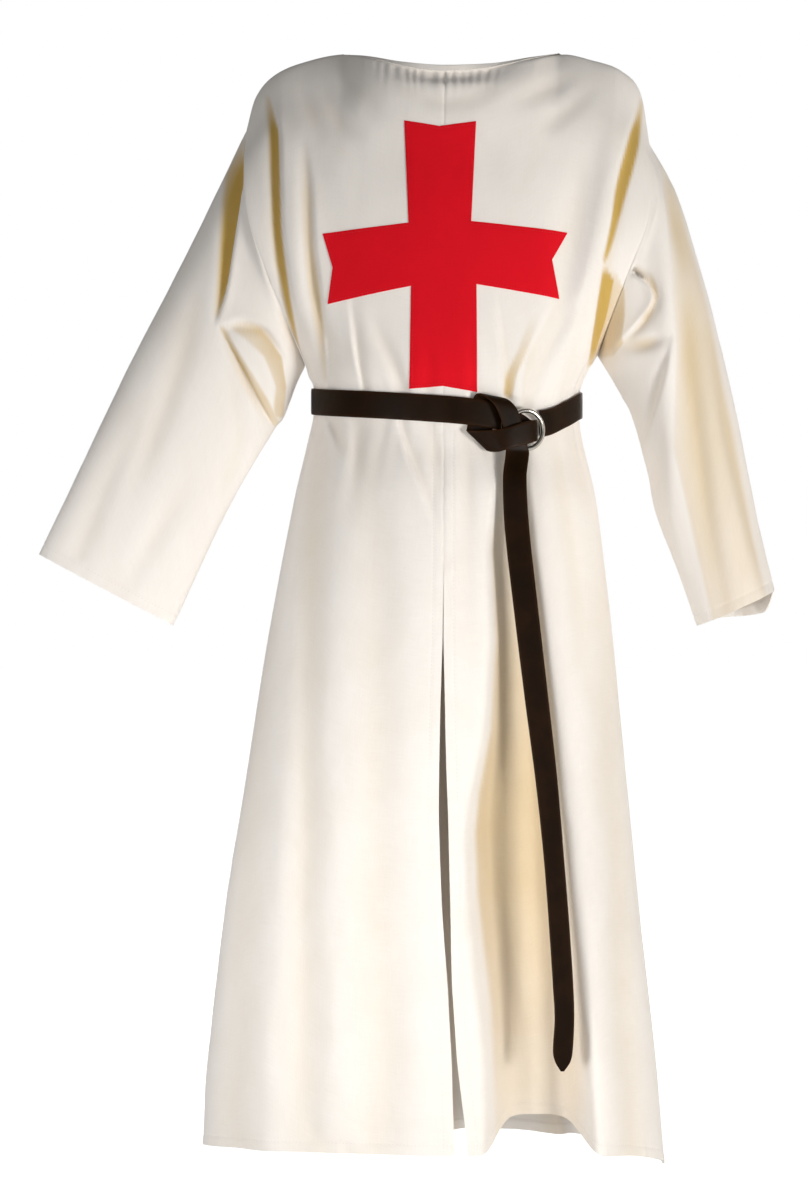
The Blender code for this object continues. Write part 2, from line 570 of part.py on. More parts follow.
def build_neck_binding(tape, collection):
    """Narrow binding round the neckline, over the top of both bodies' edges."""
    walls = []
    for side, shares in ((FRONT, np.concatenate([-FRONT_NECK[:0:-1], FRONT_NECK])),
                         (BACK, np.concatenate([BACK_NECK[-2:0:-1], -BACK_NECK[:-1]]))):
        height = np.linalg.norm(body(side, shares, 0.02) - body(side, shares, 0.0), axis=-1)
        low = 0.02 * BINDING / height
        station = np.stack([0 * low, low / 2, low])
        share = np.broadcast_to(shares, station.shape)
        outward = normals(lambda a, b: body(side, a, b), share, np.maximum(station, .002), side)
        walls.append((body(side, share, station), outward))
    outer = np.concatenate([w[0] for w in walls], 1)
    outward = np.concatenate([w[1] for w in walls], 1)
    add_object("neck_binding", cloth_wall("neck_binding", outer, outward, CLOTH, True),
               tape, collection)


def build_cross(red, collection):
    """Cross cut from one piece of cloth, laid on the joined fronts: a middle block and four
    arms that widen to notched ends, each a grid between its two ends."""
    cells = CROSS_CELLS
    across = np.linspace(-1, 1, 2 * (cells // 2) + 3)
    blocks = []
    corners = np.array(CROSS_MIDDLE, float)
    a, b = np.meshgrid((across + 1) / 2, (across + 1) / 2)
    blocks.append(((1 - a) * (1 - b))[..., None] * corners[0] + (a * (1 - b))[..., None] * corners[1]
                  + (a * b)[..., None] * corners[2] + ((1 - a) * b)[..., None] * corners[3])
    for arm, end in enumerate(np.array(CROSS_ENDS, float)):
        near = corners[arm], corners[(arm + 1) % 4]
        q, p = np.meshgrid(across, np.linspace(0, 1, cells + 1))
        inner = ((1 - q) / 2)[..., None] * near[0] + ((1 + q) / 2)[..., None] * near[1]
        first = np.maximum(-q, 0)[..., None] * end[0] + np.maximum(q, 0)[..., None] * end[2]
        outer = first + (1 - np.abs(q))[..., None] * end[1]
        blocks.append(inner + (outer - inner) * p[..., None])
    shape = bmesh.new()
    for block in blocks:
        x, z = block[..., 0], block[..., 1]
        y = front_depth(x, z) - LIFT
        points = np.stack([x, y, z], -1) * MM
        made = [[shape.verts.new(point) for point in row] for row in points.tolist()]
        for upper, lower in zip(made[:-1], made[1:]):
            for k in range(len(upper) - 1):
                shape.faces.new((upper[k], upper[k + 1], lower[k + 1], lower[k]))
    bmesh.ops.remove_doubles(shape, verts=shape.verts, dist=0.0001)
    bmesh.ops.recalc_face_normals(shape, faces=shape.faces)
    mesh = bpy.data.meshes.new("cross_applique")
    shape.to_mesh(mesh)
    shape.free()
    piece = add_object("cross_applique", mesh, red, collection)
    facing = sum(polygon.normal.y for polygon in mesh.polygons)
    solid = piece.modifiers.new("wall", "SOLIDIFY")
    solid.thickness = 1.0 * MM
    solid.offset = 1.0 if facing < 0 else -1.0


def build_belt(leather, steel, collection):
    """Strap round the waist, its knot and hanging tail, and the ring they are tied through."""
    turn = np.linspace(STRAP_START, STRAP_END, 60)
    height = np.interp(turn, STRAP_HEIGHT[:, 0], STRAP_HEIGHT[:, 1])
    middle = hermite(BELT_LINE[:, 0], BELT_LINE[:, 1], np.where(turn > 0.75, turn - 1, turn))
    upper = waist(turn, height, middle + STRAP_WIDTH / 2)
    lower = waist(turn, height, middle - STRAP_WIDTH / 2)
    add_object("belt_strap", ribbon("belt_strap", upper, lower, LEATHER), leather, collection)

    fine = np.linspace(0, len(KNOT) - 1, 3 * len(KNOT))
    knot = curve(KNOT, fine)
    upper, lower = beside_waist(knot[:, :3]), beside_waist(knot[:, 3:])
    tail_upper = TAIL[:, (0, 2, 3)].astype(float)
    tail_lower = TAIL[:, (1, 2, 3)].astype(float)
    add_object("belt_tail", ribbon("belt_tail", np.concatenate([upper, tail_upper]),
                                   np.concatenate([lower, tail_lower]), LEATHER),
               leather, collection)

    centre = beside_waist(np.array(((RING_X, RING_HEIGHT, RING_Z),)))[0]
    off = beside_waist(np.array(((RING_X, RING_HEIGHT + 1, RING_Z),)))[0] - centre
    bpy.ops.mesh.primitive_torus_add(major_radius=RING_RADIUS * MM, minor_radius=RING_WIRE * MM,
                                     major_segments=28, minor_segments=8,
                                     location=(centre * MM).tolist(),
                                     rotation=(math.pi / 2, 0, math.atan2(off[0], -off[1])))
    ring = bpy.context.object
    ring.name = ring.data.name = "belt_ring"
    ring.data.materials.append(steel)
    for owner in list(ring.users_collection):
        owner.objects.unlink(ring)
    collection.objects.link(ring)


def main():
    """Remove what the scene holds and build the surcoat."""
    for leftover in list(bpy.data.objects):
        bpy.data.objects.remove(leftover)
    collection = bpy.data.collections.new("medieval_surcoat")
    bpy.context.scene.collection.children.link(collection)
    cotton = add_material("cream_cotton", (0.87, 0.82, 0.70), 0.85)
    tape = add_material("cream_binding", (0.87, 0.82, 0.70), 0.85)
    red = add_material("red_cotton", (0.63, 0.003, 0.012), 0.8)
    leather = add_material("brown_leather", (0.025, 0.012, 0.006), 0.45)
    steel = add_material("nickel_ring", (0.75, 0.74, 0.70), 0.15, 1.0)
    build_front_panels(cotton, collection)
    build_back_panel(cotton, collection)
    build_sleeves(cotton, collection)
    build_neck_binding(tape, collection)
    build_cross(red, collection)
    build_belt(leather, steel, collection)


main()
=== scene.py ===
"""Medieval surcoat: cream cotton, a red cross, a knotted leather ring belt, standing as worn.

Laid out as an add-on with one operator for each piece, and run as a script. The CAD frame is
metres with +Z up; the wearer faces -Y, with the left side at +X. The tables are millimetres.
Every cloth is a smooth loft through section tables, displaced by its creases, gathers and
noise, which are all functions of the place on the body, so neighbouring pieces share seams.
"""
import math

import bmesh
import bpy
import numpy as np
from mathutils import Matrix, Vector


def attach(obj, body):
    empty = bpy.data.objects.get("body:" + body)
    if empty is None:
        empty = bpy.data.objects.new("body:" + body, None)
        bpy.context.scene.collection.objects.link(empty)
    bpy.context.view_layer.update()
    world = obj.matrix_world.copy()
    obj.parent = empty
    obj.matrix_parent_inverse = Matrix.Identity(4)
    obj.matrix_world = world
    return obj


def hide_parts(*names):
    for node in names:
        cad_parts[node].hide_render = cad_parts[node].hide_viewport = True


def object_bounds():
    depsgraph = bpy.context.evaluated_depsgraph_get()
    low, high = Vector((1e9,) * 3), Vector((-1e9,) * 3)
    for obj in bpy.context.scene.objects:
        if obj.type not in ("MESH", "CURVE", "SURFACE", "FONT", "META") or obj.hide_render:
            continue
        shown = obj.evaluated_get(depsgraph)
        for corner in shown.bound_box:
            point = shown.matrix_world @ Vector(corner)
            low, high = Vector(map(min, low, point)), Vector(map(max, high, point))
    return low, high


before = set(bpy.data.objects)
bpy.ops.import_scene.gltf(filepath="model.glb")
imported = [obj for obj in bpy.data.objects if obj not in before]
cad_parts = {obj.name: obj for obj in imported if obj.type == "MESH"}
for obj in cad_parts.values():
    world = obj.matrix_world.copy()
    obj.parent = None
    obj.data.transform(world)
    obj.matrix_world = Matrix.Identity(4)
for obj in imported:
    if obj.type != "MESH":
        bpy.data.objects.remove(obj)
CAD_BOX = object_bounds()

bl_info = {
    "name": "Medieval surcoat",
    "version": (1, 0, 0),
    "blender": (4, 5, 0),
    "location": "View3D > Sidebar > Surcoat",
    "description": "Builds a cotton surcoat with its cross, its ring belt and a plain stage",
    "category": "Object",
}

MM = 0.001
FRONT, BACK = -1, 1
LEFT, RIGHT = 1, -1    # the wearer's sides, as signs of X
UNDERARM = 0.272       # station of the underarm, from 0 at the top edge to 1 at the hem
ROLL_STATION = 0.012   # a row just below the top edge, where the shoulder rolls over
NECK_SHARE = 0.54      # the neckline runs over this share of each half of the top edge
BELT_TOP, BELT_BOTTOM = 0.300, 0.325
BELT_SPREAD = 0.05     # how far up and down the body the strap's slant is felt, in stations
RECESS_RISE = 0.34     # the hem rises by this share of the recess's depth
SLIT_REACH = 0.08      # how far the slit's opening moves the panel, as a share of its width
SLIT_START = -600.0    # height below which the centre front isn't sewn shut
FULL_PAINTED_SHADE = 12.0       # depth in a fold at which the cloth has its full painted shade
HALF_WIDTH, DROP = 240.0, 1300.0        # rough size of a front, for finding places on it
LATTICE = 97           # numbers along each side of the noise's lattice
PUCKER_HEM, PUCKER_SLIT, PUCKER_CUFF = 0.55, 0.75, 0.45    # how much stitched edges pucker
SEAM_REACH, SEAM_DEPTH = 2.2, 0.4       # a sewn seam draws the cloth in over this width
SEAM_FADE = 0.075      # share of the width over which folds die out towards a seam
NECK_FADE = 0.03       # share of the width over which the neckline turns into the shoulder
ECHO_X, ECHO_Z = 9, 26    # a sleeve's back has its front's creases, moved in and down by these
SLEEVE_CALM = 0.8      # the sleeves' unevenness, as a share of the body's
CUFF_DROP = 24         # how far the left cuff hangs lower behind
# Gathers: the depth of the folds, and their spacing as the length of one radian
PLEAT_DEPTH, PLEAT_RADIAN = 3.1, 4.9    # above and below the strap
RIPPLE_DEPTH, RIPPLE_RADIAN = 2.2, 1.75    # under the neck binding
# Small waves of the cloth: depth, how much deeper they get down the skirt, width, height
WAVES = ((1.0, 1.6, 62, 210), (0.7, 0.5, 30, 74), (0.22, 0.16, 13, 24))
# Rows of points beside a stitched edge, as distances from it, and the lengths of cloth that
# turn them into stations
HEM_ROWS = np.array((17, 14.5, 13, 12, 11, 9.5, 7, 4, 1.5, 0))
SKIRT_RUN, SLEEVE_RUN = 1290, 420

# Top edge of both bodies: the shoulder seams and, between them, the neckline.
# share of the half width, x, y front, y back, z front, z back
TOP_EDGE = np.array((
    (-1.00, -245, 5, 5, -71, -71),
    (-0.93, -233, 5, 5, -30, -30),
    (-0.83, -210, 5, 5, -4, -4),
    (-0.68, -170, 5, 5, 13, 13),
    (-0.54, -129, 5, 5, 21, 21),
    (-0.40, -98, -38, 36, 12, 15),
    (-0.22, -55, -66, 57, 0, 10),
    (0.00, -4, -76, 65, -6, 7),
    (0.22, 52, -66, 57, -2, 10),
    (0.40, 104, -38, 36, 11, 15),
    (0.54, 139, 5, 5, 22, 22),
    (0.68, 174, 5, 5, 15, 15),
    (0.83, 213, 5, 5, 1, 1),
    (0.93, 236, 5, 5, -25, -25),
    (1.00, 247, 5, 5, -86, -86),
))

# Sections of the body from the yoke to the hem.
# station, x right seam, x centre, x left seam, z right seam, z front, z back, z left seam,
# y front edge, y front, y back edge, y back, roundness, share of the top edge's shape
SECTIONS = np.array((
    (0.035, -246, -4, 250, -92, -30, -22, -100, -20, -84, 26, 82, 0.00, 0.55),
    (0.065, -246, -5, 249, -120, -66, -60, -125, -42, -94, 48, 95, 0.00, 0.20),
    (0.100, -244, -6, 246, -155, -110, -108, -158, -58, -102, 66, 105, 0.00, 0.0),
    (0.140, -236, -6, 237, -198, -165, -165, -200, -66, -109, 78, 112, 0.00, 0.0),
    (0.180, -221, -6, 221, -243, -222, -222, -240, -64, -114, 76, 114, 0.10, 0.0),
    (0.220, -201, -6, 204, -292, -280, -280, -286, -48, -118, 56, 113, 0.45, 0.0),
    (0.250, -184, -6, 191, -330, -322, -320, -324, -18, -121, 32, 111, 0.80, 0.0),
    (0.272, -173, -6, 184, -357, -350, -345, -345, 10, -122, 10, 110, 1.00, 0.0),
    (0.285, -169, -6, 173, -371, -370, -360, -364, 10, -121, 10, 108, 1.00, 0.0),
    (0.300, -163, -6, 163, -384, -398, -376, -388, 10, -114, 10, 104, 1.00, 0.0),
    (0.325, -163, -6, 162, -418, -434, -412, -424, 10, -114, 10, 104, 1.00, 0.0),
    (0.345, -169, -6, 166, -446, -463, -442, -451, 10, -118, 10, 109, 1.00, 0.0),
    (0.390, -185, -6, 181, -515, -518, -515, -515, 10, -132, 10, 124, 1.00, 0.0),
    (0.460, -203, -6, 193, -605, -605, -605, -605, 10, -142, 10, 135, 1.00, 0.0),
    (0.550, -224, -7, 206, -722, -720, -720, -724, 10, -152, 10, 147, 1.00, 0.0),
    (0.660, -246, -7, 220, -864, -860, -862, -868, 10, -163, 10, 158, 1.00, 0.0),
    (0.780, -270, -3, 236, -1020, -1012, -1018, -1028, 10, -173, 10, 168, 1.00, 0.0),
    (0.900, -289, 5, 254, -1178, -1163, -1174, -1192, 10, -183, 10, 178, 1.00, 0.0),
    (1.000, -298, 14, 266, -1309, -1287, -1321, -1333, 10, -190, 10, 185, 1.00, 0.0),
))
# The section under the strap: x of its right seam, centre and left seam, y of its seams,
# front and back
WAIST_RIGHT, WAIST_MIDDLE, WAIST_LEFT, WAIST_SEAM, WAIST_FRONT, WAIST_BACK = (
    SECTIONS[SECTIONS[:, 0] == BELT_TOP][0][[1, 2, 3, 8, 9, 11]])

# The deep pleat that falls from the knot: z, left edge x, right edge x, depth
RECESS = np.array((
    (-440, 56, 96, 0), (-504, 58, 95, 9), (-586, 49, 100, 24), (-692, 55, 112, 36),
    (-799, 49, 122, 48), (-875, 33, 128, 55), (-922, 28, 133, 61), (-995, 31, 138, 68),
    (-1067, 40, 146, 74), (-1132, 48, 151, 81), (-1171, 52, 155, 86), (-1300, 51, 162, 96)))
RECESS_POWER = 5       # how square the pleat's trough is

# Creases. Each has its kind and its rows of x, z, half width, depth; a negative depth is a
# ridge. SOFT is a round trough. A lap has a sharp edge, and its trough lies on one hand of
# its line: LAP_LEFT on the wearer's left of a line that runs down, LAP_RIGHT on the other.
SOFT, LAP_LEFT, LAP_RIGHT = 0, 1, -1
CREASE_REACH = 2.6     # half widths past which a crease isn't felt
LAP_LEVEL, LAP_STEP = 0.33, 0.24    # a lap's depth on its own line, and its step's softness
FRONT_CREASES = (
    (LAP_RIGHT, ((-217, -34, 9, 0), (-203, -85, 12, 8), (-201, -140, 12, 10),
                 (-199, -200, 12, 10), (-194, -245, 12, 9), (-186, -300, 11, 8),
                 (-178, -345, 10, 5), (-172, -368, 9, 0))),
    (SOFT, ((-184, -74, 12, 0), (-183, -169, 12, -4), (-177, -276, 11, -5), (-161, -373, 10, 0))),
    (LAP_RIGHT, ((-170, -90, 14, 0), (-163, -160, 14, 5), (-160, -220, 13, 7),
                 (-154, -270, 12, 8), (-149, -320, 10, 8), (-145, -380, 9, 4))),
    (LAP_LEFT, ((-159, -270, 10, 0), (-147, -336, 10, 8), (-143, -396, 9, 4))),
    (LAP_LEFT, ((-120, -275, 11, 0), (-110, -348, 11, 6), (-102, -398, 10, 4))),
    (SOFT, ((-96, -295, 9, 0), (-68, -360, 9, 5), (-50, -402, 8, 4))),
    (SOFT, ((-28, -330, 8, 0), (-22, -375, 8, 3), (-24, -404, 8, 3))),
    (SOFT, ((22, -320, 8, 0), (29, -370, 8, 3), (32, -404, 8, 3))),
    (LAP_LEFT, ((56, -280, 11, 0), (62, -345, 11, 5), (66, -385, 10, 8), (67, -410, 9, 6))),
    (LAP_LEFT, ((132, -280, 11, 0), (106, -331, 10, 7), (92, -366, 10, 8), (88, -410, 9, 4))),
    (SOFT, ((168, -276, 9, 0), (118, -347, 9, 5), (99, -409, 8, 3))),
    (SOFT, ((207, -43, 13, 0), (189, -144, 13, -5), (172, -240, 13, -7), (148, -323, 12, -6),
            (125, -402, 10, 0))),
    (SOFT, ((166, -100, 16, 0), (146, -205, 16, 5), (134, -288, 14, 4), (128, -330, 12, 0))),
    (LAP_LEFT, ((232, -40, 9, 0), (222, -75, 12, 6), (212, -110, 13, 8), (202, -145, 12, 8),
                (196, -185, 11, 7), (188, -225, 11, 6), (183, -255, 12, 7),
                (180, -295, 12, 8), (175, -330, 11, 6), (170, -362, 9, 0))),
    (SOFT, ((-128, 4, 11, 0), (-105, -37, 12, 4), (-72, -75, 11, 0))),
    (SOFT, ((-158, -14, 11, 0), (-134, -67, 12, 4), (-92, -94, 11, 0))),
    (SOFT, ((-178, -20, 11, 0), (-163, -59, 12, 4), (-150, -100, 11, 0))),
    (SOFT, ((160, -5, 11, 0), (119, -31, 12, 4), (68, -60, 11, 0))),
    (SOFT, ((180, -20, 11, 0), (140, -61, 12, 4), (104, -86, 11, 0))),
    (SOFT, ((-60, -20, 10, 0), (-20, -48, 12, 2.5), (30, -46, 12, 2.5), (70, -18, 10, 0))),
    (LAP_LEFT, ((-147, -424, 11, 2), (-138, -445, 11, 7), (-126, -478, 10, 0))),
    (SOFT, ((-152, -440, 13, 3), (-161, -549, 16, 9), (-165, -668, 18, 9), (-166, -833, 20, 8),
            (-168, -999, 22, 8), (-171, -1235, 26, 7), (-172, -1320, 28, 5))),
    (SOFT, ((-210, -560, 14, 0), (-222, -720, 18, 5), (-236, -900, 20, 6), (-256, -1320, 24, 7))),
    (SOFT, ((-92, -445, 20, 3), (-86, -677, 28, 6), (-84, -891, 30, 7), (-80, -1229, 34, 7),
            (-80, -1320, 34, 5))),
    (SOFT, ((-112, -428, 10, 3), (-108, -470, 10, 5), (-116, -560, 12, 0))),
    (LAP_LEFT, ((-60, -430, 10, 3), (-50, -467, 10, 6), (-34, -505, 10, 5), (-16, -560, 10, 0))),
    (SOFT, ((-22, -436, 8, 3), (-16, -480, 9, 4), (-14, -540, 10, 0))),
    (SOFT, ((18, -440, 9, 3), (22, -490, 10, 5), (20, -600, 13, 3), (24, -760, 14, 0))),
    (SOFT, ((48, -430, 30, 2), (52, -462, 30, 5), (54, -505, 22, 0))),
    (SOFT, ((124, -432, 10, 3), (136, -500, 12, 7), (150, -600, 14, 6), (168, -760, 16, 4),
            (186, -930, 18, 0))),
    (SOFT, ((148, -425, 9, 3), (160, -490, 11, 5), (174, -560, 12, 0))),
    (SOFT, ((186, -520, 14, 0), (192, -700, 18, 7), (204, -1000, 20, 9), (220, -1320, 22, 9))),
    (SOFT, ((-140, -1262, 14, 0), (-120, -1288, 12, 4), (-92, -1306, 12, 3))),
    (SOFT, ((-176, -1240, 12, 0), (-150, -1278, 12, 3), (-130, -1312, 12, 3))),
)
BACK_CREASES = (
    (LAP_RIGHT, ((-208, -50, 14, 0), (-198, -130, 16, 11), (-190, -220, 16, 13),
                 (-178, -300, 15, 9), (-168, -368, 12, 0))),
    (LAP_LEFT, ((212, -50, 14, 0), (203, -130, 16, 11), (194, -220, 16, 13), (182, -300, 15, 9),
                (168, -366, 12, 0))),
    (SOFT, ((-150, -30, 13, 0), (-134, -150, 15, 4), (-122, -268, 13, 0))),
    (SOFT, ((156, -30, 13, 0), (140, -140, 15, 4), (126, -262, 13, 0))),
    (SOFT, ((-128, -8, 12, 0), (-66, -62, 13, 4), (0, -84, 14, 5), (66, -60, 13, 4),
            (130, -8, 12, 0))),
    (SOFT, ((-84, -60, 12, 0), (-40, -112, 13, 3), (30, -118, 13, 3), (82, -66, 12, 0))),
    (LAP_LEFT, ((-110, -275, 11, 0), (-92, -370, 11, 8), (-95, -450, 13, 9),
                (-118, -700, 22, 12), (-140, -1000, 30, 15), (-152, -1330, 36, 18))),
    (SOFT, ((-54, -290, 9, 0), (-44, -372, 9, 6), (-46, -470, 12, 7), (-56, -640, 16, 4),
            (-62, -800, 18, 0))),
    (LAP_RIGHT, ((14, -286, 10, 0), (6, -380, 11, 8), (4, -450, 14, 9), (8, -700, 24, 12),
                 (14, -1000, 32, 15), (16, -1330, 38, 17))),
    (SOFT, ((58, -300, 9, 0), (50, -376, 9, 6), (54, -470, 12, 7), (64, -660, 16, 3),
            (70, -820, 18, 0))),
    (LAP_RIGHT, ((118, -275, 11, 0), (96, -370, 11, 8), (98, -450, 13, 9), (120, -700, 22, 12),
                 (140, -1000, 28, 15), (152, -1330, 34, 17))),
    (SOFT, ((-162, -290, 10, 0), (-144, -372, 9, 6), (-142, -440, 10, 5), (-170, -640, 14, 6),
            (-200, -900, 18, 6), (-222, -1330, 22, 7))),
    (SOFT, ((164, -290, 10, 0), (146, -372, 9, 6), (144, -440, 10, 5), (168, -640, 14, 6),
            (192, -900, 18, 6), (214, -1330, 22, 7))),
)
RIGHT_SLEEVE_CREASES = (
    (LAP_RIGHT, ((-236, -82, 12, 0), (-243, -120, 16, 11), (-250, -160, 15, 13),
                 (-258, -210, 13, 12), (-267, -270, 9, 9), (-277, -306, 6, 2))),
    (LAP_LEFT, ((-192, -352, 11, 0), (-208, -330, 12, 6), (-223, -315, 12, 8),
                (-249, -309, 12, 7), (-278, -318, 11, 0))),
    (LAP_RIGHT, ((-276, -308, 9, 0), (-250, -355, 9, 7), (-230, -397, 9, 7), (-204, -440, 9, 0))),
    (SOFT, ((-260, -320, 13, 0), (-223, -367, 13, -6), (-200, -408, 12, 0))),
    (SOFT, ((-269, -342, 10, 0), (-250, -427, 12, 4), (-255, -478, 12, 4), (-282, -532, 11, 0))),
    (SOFT, ((-300, -250, 13, 0), (-318, -340, 15, 3), (-352, -440, 15, 4), (-392, -540, 13, 0))),
    (SOFT, ((-300, -480, 12, 0), (-340, -545, 14, 3), (-372, -600, 13, 3), (-390, -640, 12, 0))),
    (SOFT, ((-372, -420, 12, 0), (-410, -500, 14, 3), (-446, -585, 13, 3))),
)
LEFT_SLEEVE_CREASES = (
    (SOFT, ((245, -70, 14, 0), (254, -189, 14, -6), (263, -309, 14, -7), (267, -453, 14, -7),
            (274, -572, 14, -6), (290, -660, 14, -3))),
    (LAP_LEFT, ((182, -252, 8, 0), (205, -245, 8, 5), (225, -252, 8, 7), (243, -268, 8, 7),
                (247, -286, 8, 7), (231, -310, 8, 7), (202, -340, 8, 0))),
    (SOFT, ((202, -338, 8, 0), (236, -337, 8, 7), (270, -326, 8, 0))),
    (LAP_RIGHT, ((270, -318, 10, 0), (256, -390, 10, 7), (236, -468, 9, 0))),
    (SOFT, ((286, -262, 12, 0), (297, -405, 12, 6), (308, -524, 12, 6), (330, -660, 12, 3))),
    (SOFT, ((316, -296, 12, 0), (337, -422, 12, 5), (359, -519, 12, 5), (386, -625, 11, 3))),
    (SOFT, ((262, -430, 10, 0), (252, -500, 11, 4), (262, -580, 11, 3), (282, -680, 11, 2))),
    (SOFT, ((262, -120, 12, 0), (276, -190, 13, 4), (292, -262, 12, 0))),
)

# Bands of painted shade on the fronts of the body and the sleeves, deep and warm, standing
# in for the shade where the cloth lies double or turns from the light and for light coming
# through it: how soft the left and right edges are, then rows of z, left edge x,
# right edge x, strength
BODY_PAINTED_SHADE = (
    (8, 4, ((-30, -221, -216, 0.3), (-80, -215, -203, 0.8), (-140, -212, -201, 0.9),
            (-200, -209, -199, 0.85), (-240, -205, -194, 0.8), (-280, -197, -189, 0.75),
            (-320, -189, -182, 0.6), (-362, -177, -173, 0.3))),
    (16, 5, ((-80, -180, -166, 0.0), (-160, -176, -163, 0.22), (-220, -174, -160, 0.28),
             (-270, -167, -154, 0.4), (-320, -158, -149, 0.45), (-384, -149, -145, 0.3))),
    (5, 5, ((-32, 236, 240, 0.3), (-60, 229, 237, 0.7), (-80, 221, 234, 0.9),
            (-100, 215, 230, 1.0), (-130, 206, 222, 1.0), (-160, 199, 213, 1.0),
            (-190, 195, 204, 0.95), (-220, 189, 196, 0.9), (-242, 184, 188, 0.8))),
    (3, 3, ((-246, 186, 190, 0.5), (-262, 184, 200, 0.9), (-300, 178, 193, 0.95),
            (-330, 175, 185, 0.9), (-362, 171, 177, 0.6))),
    (3, 3, ((-248, 194, 200, 0.1), (-270, 196, 211, 0.5), (-300, 192, 212, 0.5),
            (-330, 185, 210, 0.5), (-350, 178, 200, 0.4))),
    (5, 3, ((-300, 100, 112, 0.0), (-345, 84, 96, 0.35), (-380, 68, 80, 0.6),
            (-405, 66, 76, 0.7))),
    (7, 26, ((-462, 62, 92, 0.0), (-504, 60, 90, 0.26), (-586, 51, 97, 0.36),
             (-692, 56, 110, 0.45), (-799, 50, 120, 0.52), (-875, 35, 126, 0.58),
             (-922, 30, 130, 0.58), (-995, 33, 136, 0.54), (-1067, 42, 144, 0.46),
             (-1132, 50, 148, 0.38), (-1310, 54, 160, 0.14))),
)
RIGHT_SLEEVE_PAINTED_SHADE = (
    (9, 4, ((-80, -248, -237, 0.2), (-120, -270, -244, 0.6), (-160, -273, -250, 0.75),
            (-210, -275, -258, 0.8), (-260, -277, -266, 0.75), (-306, -281, -277, 0.4))),
    (2, 7, ((-312, -277, -271, 0.4), (-340, -262, -253, 0.6), (-370, -245, -235, 0.7),
            (-400, -229, -218, 0.7), (-440, -207, -198, 0.4))),
    (6, 3, ((-314, -264, -228, 0.35), (-330, -244, -214, 0.4), (-350, -222, -200, 0.6),
            (-385, -210, -196, 0.7), (-425, -212, -200, 0.5))),
)
LEFT_SLEEVE_PAINTED_SHADE = (
    (5, 10, ((-85, 251, 262, 0.1), (-140, 257, 280, 0.32), (-200, 261, 292, 0.38),
             (-278, 266, 312, 0.4), (-340, 272, 326, 0.4), (-461, 272, 352, 0.38),
             (-583, 298, 374, 0.34), (-690, 322, 394, 0.24))),
    (3, 3, ((-248, 180, 200, 0.2), (-270, 180, 212, 0.5), (-300, 180, 213, 0.55),
            (-335, 180, 210, 0.5), (-352, 180, 200, 0.2))),
    (3, 3, ((-240, 236, 240, 0.0), (-262, 244, 250, 0.35), (-280, 246, 253, 0.35),
            (-310, 228, 236, 0.15))),
)

# Middle of the strap round the waist: turn from the centre front over the wearer's left, z
BELT_LINE = np.array((
    (-0.25, -401), (-0.15, -408), (-0.05, -415), (0.025, -421), (0.065, -427), (0.095, -433),
    (0.125, -433), (0.17, -420), (0.21, -410), (0.25, -406), (0.35, -399), (0.50, -394),
    (0.65, -397), (0.75, -401)))

# Half of the open slit at the centre front: z, half gap
SLIT_GAP = np.array((
    (-600, 0.0), (-690, 0.6), (-760, 2.5), (-900, 5.5), (-1000, 5.0), (-1090, 2.6),
    (-1180, 3.2), (-1260, 7.0), (-1290, 8.0)))

# Rings of the sleeves after the armhole: station, outer edge x, y, z, inner edge x, y, z,
# half depth of the tube
SLEEVE_RINGS = {
    RIGHT: np.array((
        (0.14, -279, 3, -142, -183, 8, -378, 60),
        (0.32, -323, 0, -233, -199, 5, -420, 50),
        (0.52, -380, -5, -345, -214, 0, -440, 40),
        (0.76, -438, -12, -467, -266, -8, -532, 30),
        (1.00, -494, -20, -589, -332, -18, -675, 20))),
    LEFT: np.array((
        (0.14, 280, 3, -150, 197, 8, -366, 68),
        (0.32, 312, 0, -253, 213, 3, -395, 66),
        (0.52, 345, -4, -385, 228, 0, -428, 64),
        (0.76, 374, -10, -528, 262, -8, -552, 60),
        (1.00, 398, -18, -632, 303, -14, -675, 56))),
}

# The cross on the front: corners of its middle, then each arm's end as corner, notch, corner
CROSS_MIDDLE = ((-47, -198), (27, -196), (33, -271), (-44, -273))
CROSS_ENDS = (
    ((-52, -75), (-10, -82), (33, -76)),
    ((142, -207), (123, -240), (132, -286)),
    ((34, -398), (-6, -391), (-46, -394)),
    ((-143, -292), (-137, -249), (-149, -209)),
)
CROSS_CELL = 3.2       # side of the cells it is drawn in
CROSS_SEAM = 3.0       # its stitches lie this far in from its edge
CROSS_LIFT, CROSS_SUNK = 1.25, 0.45     # its face above the fronts, less along the stitches

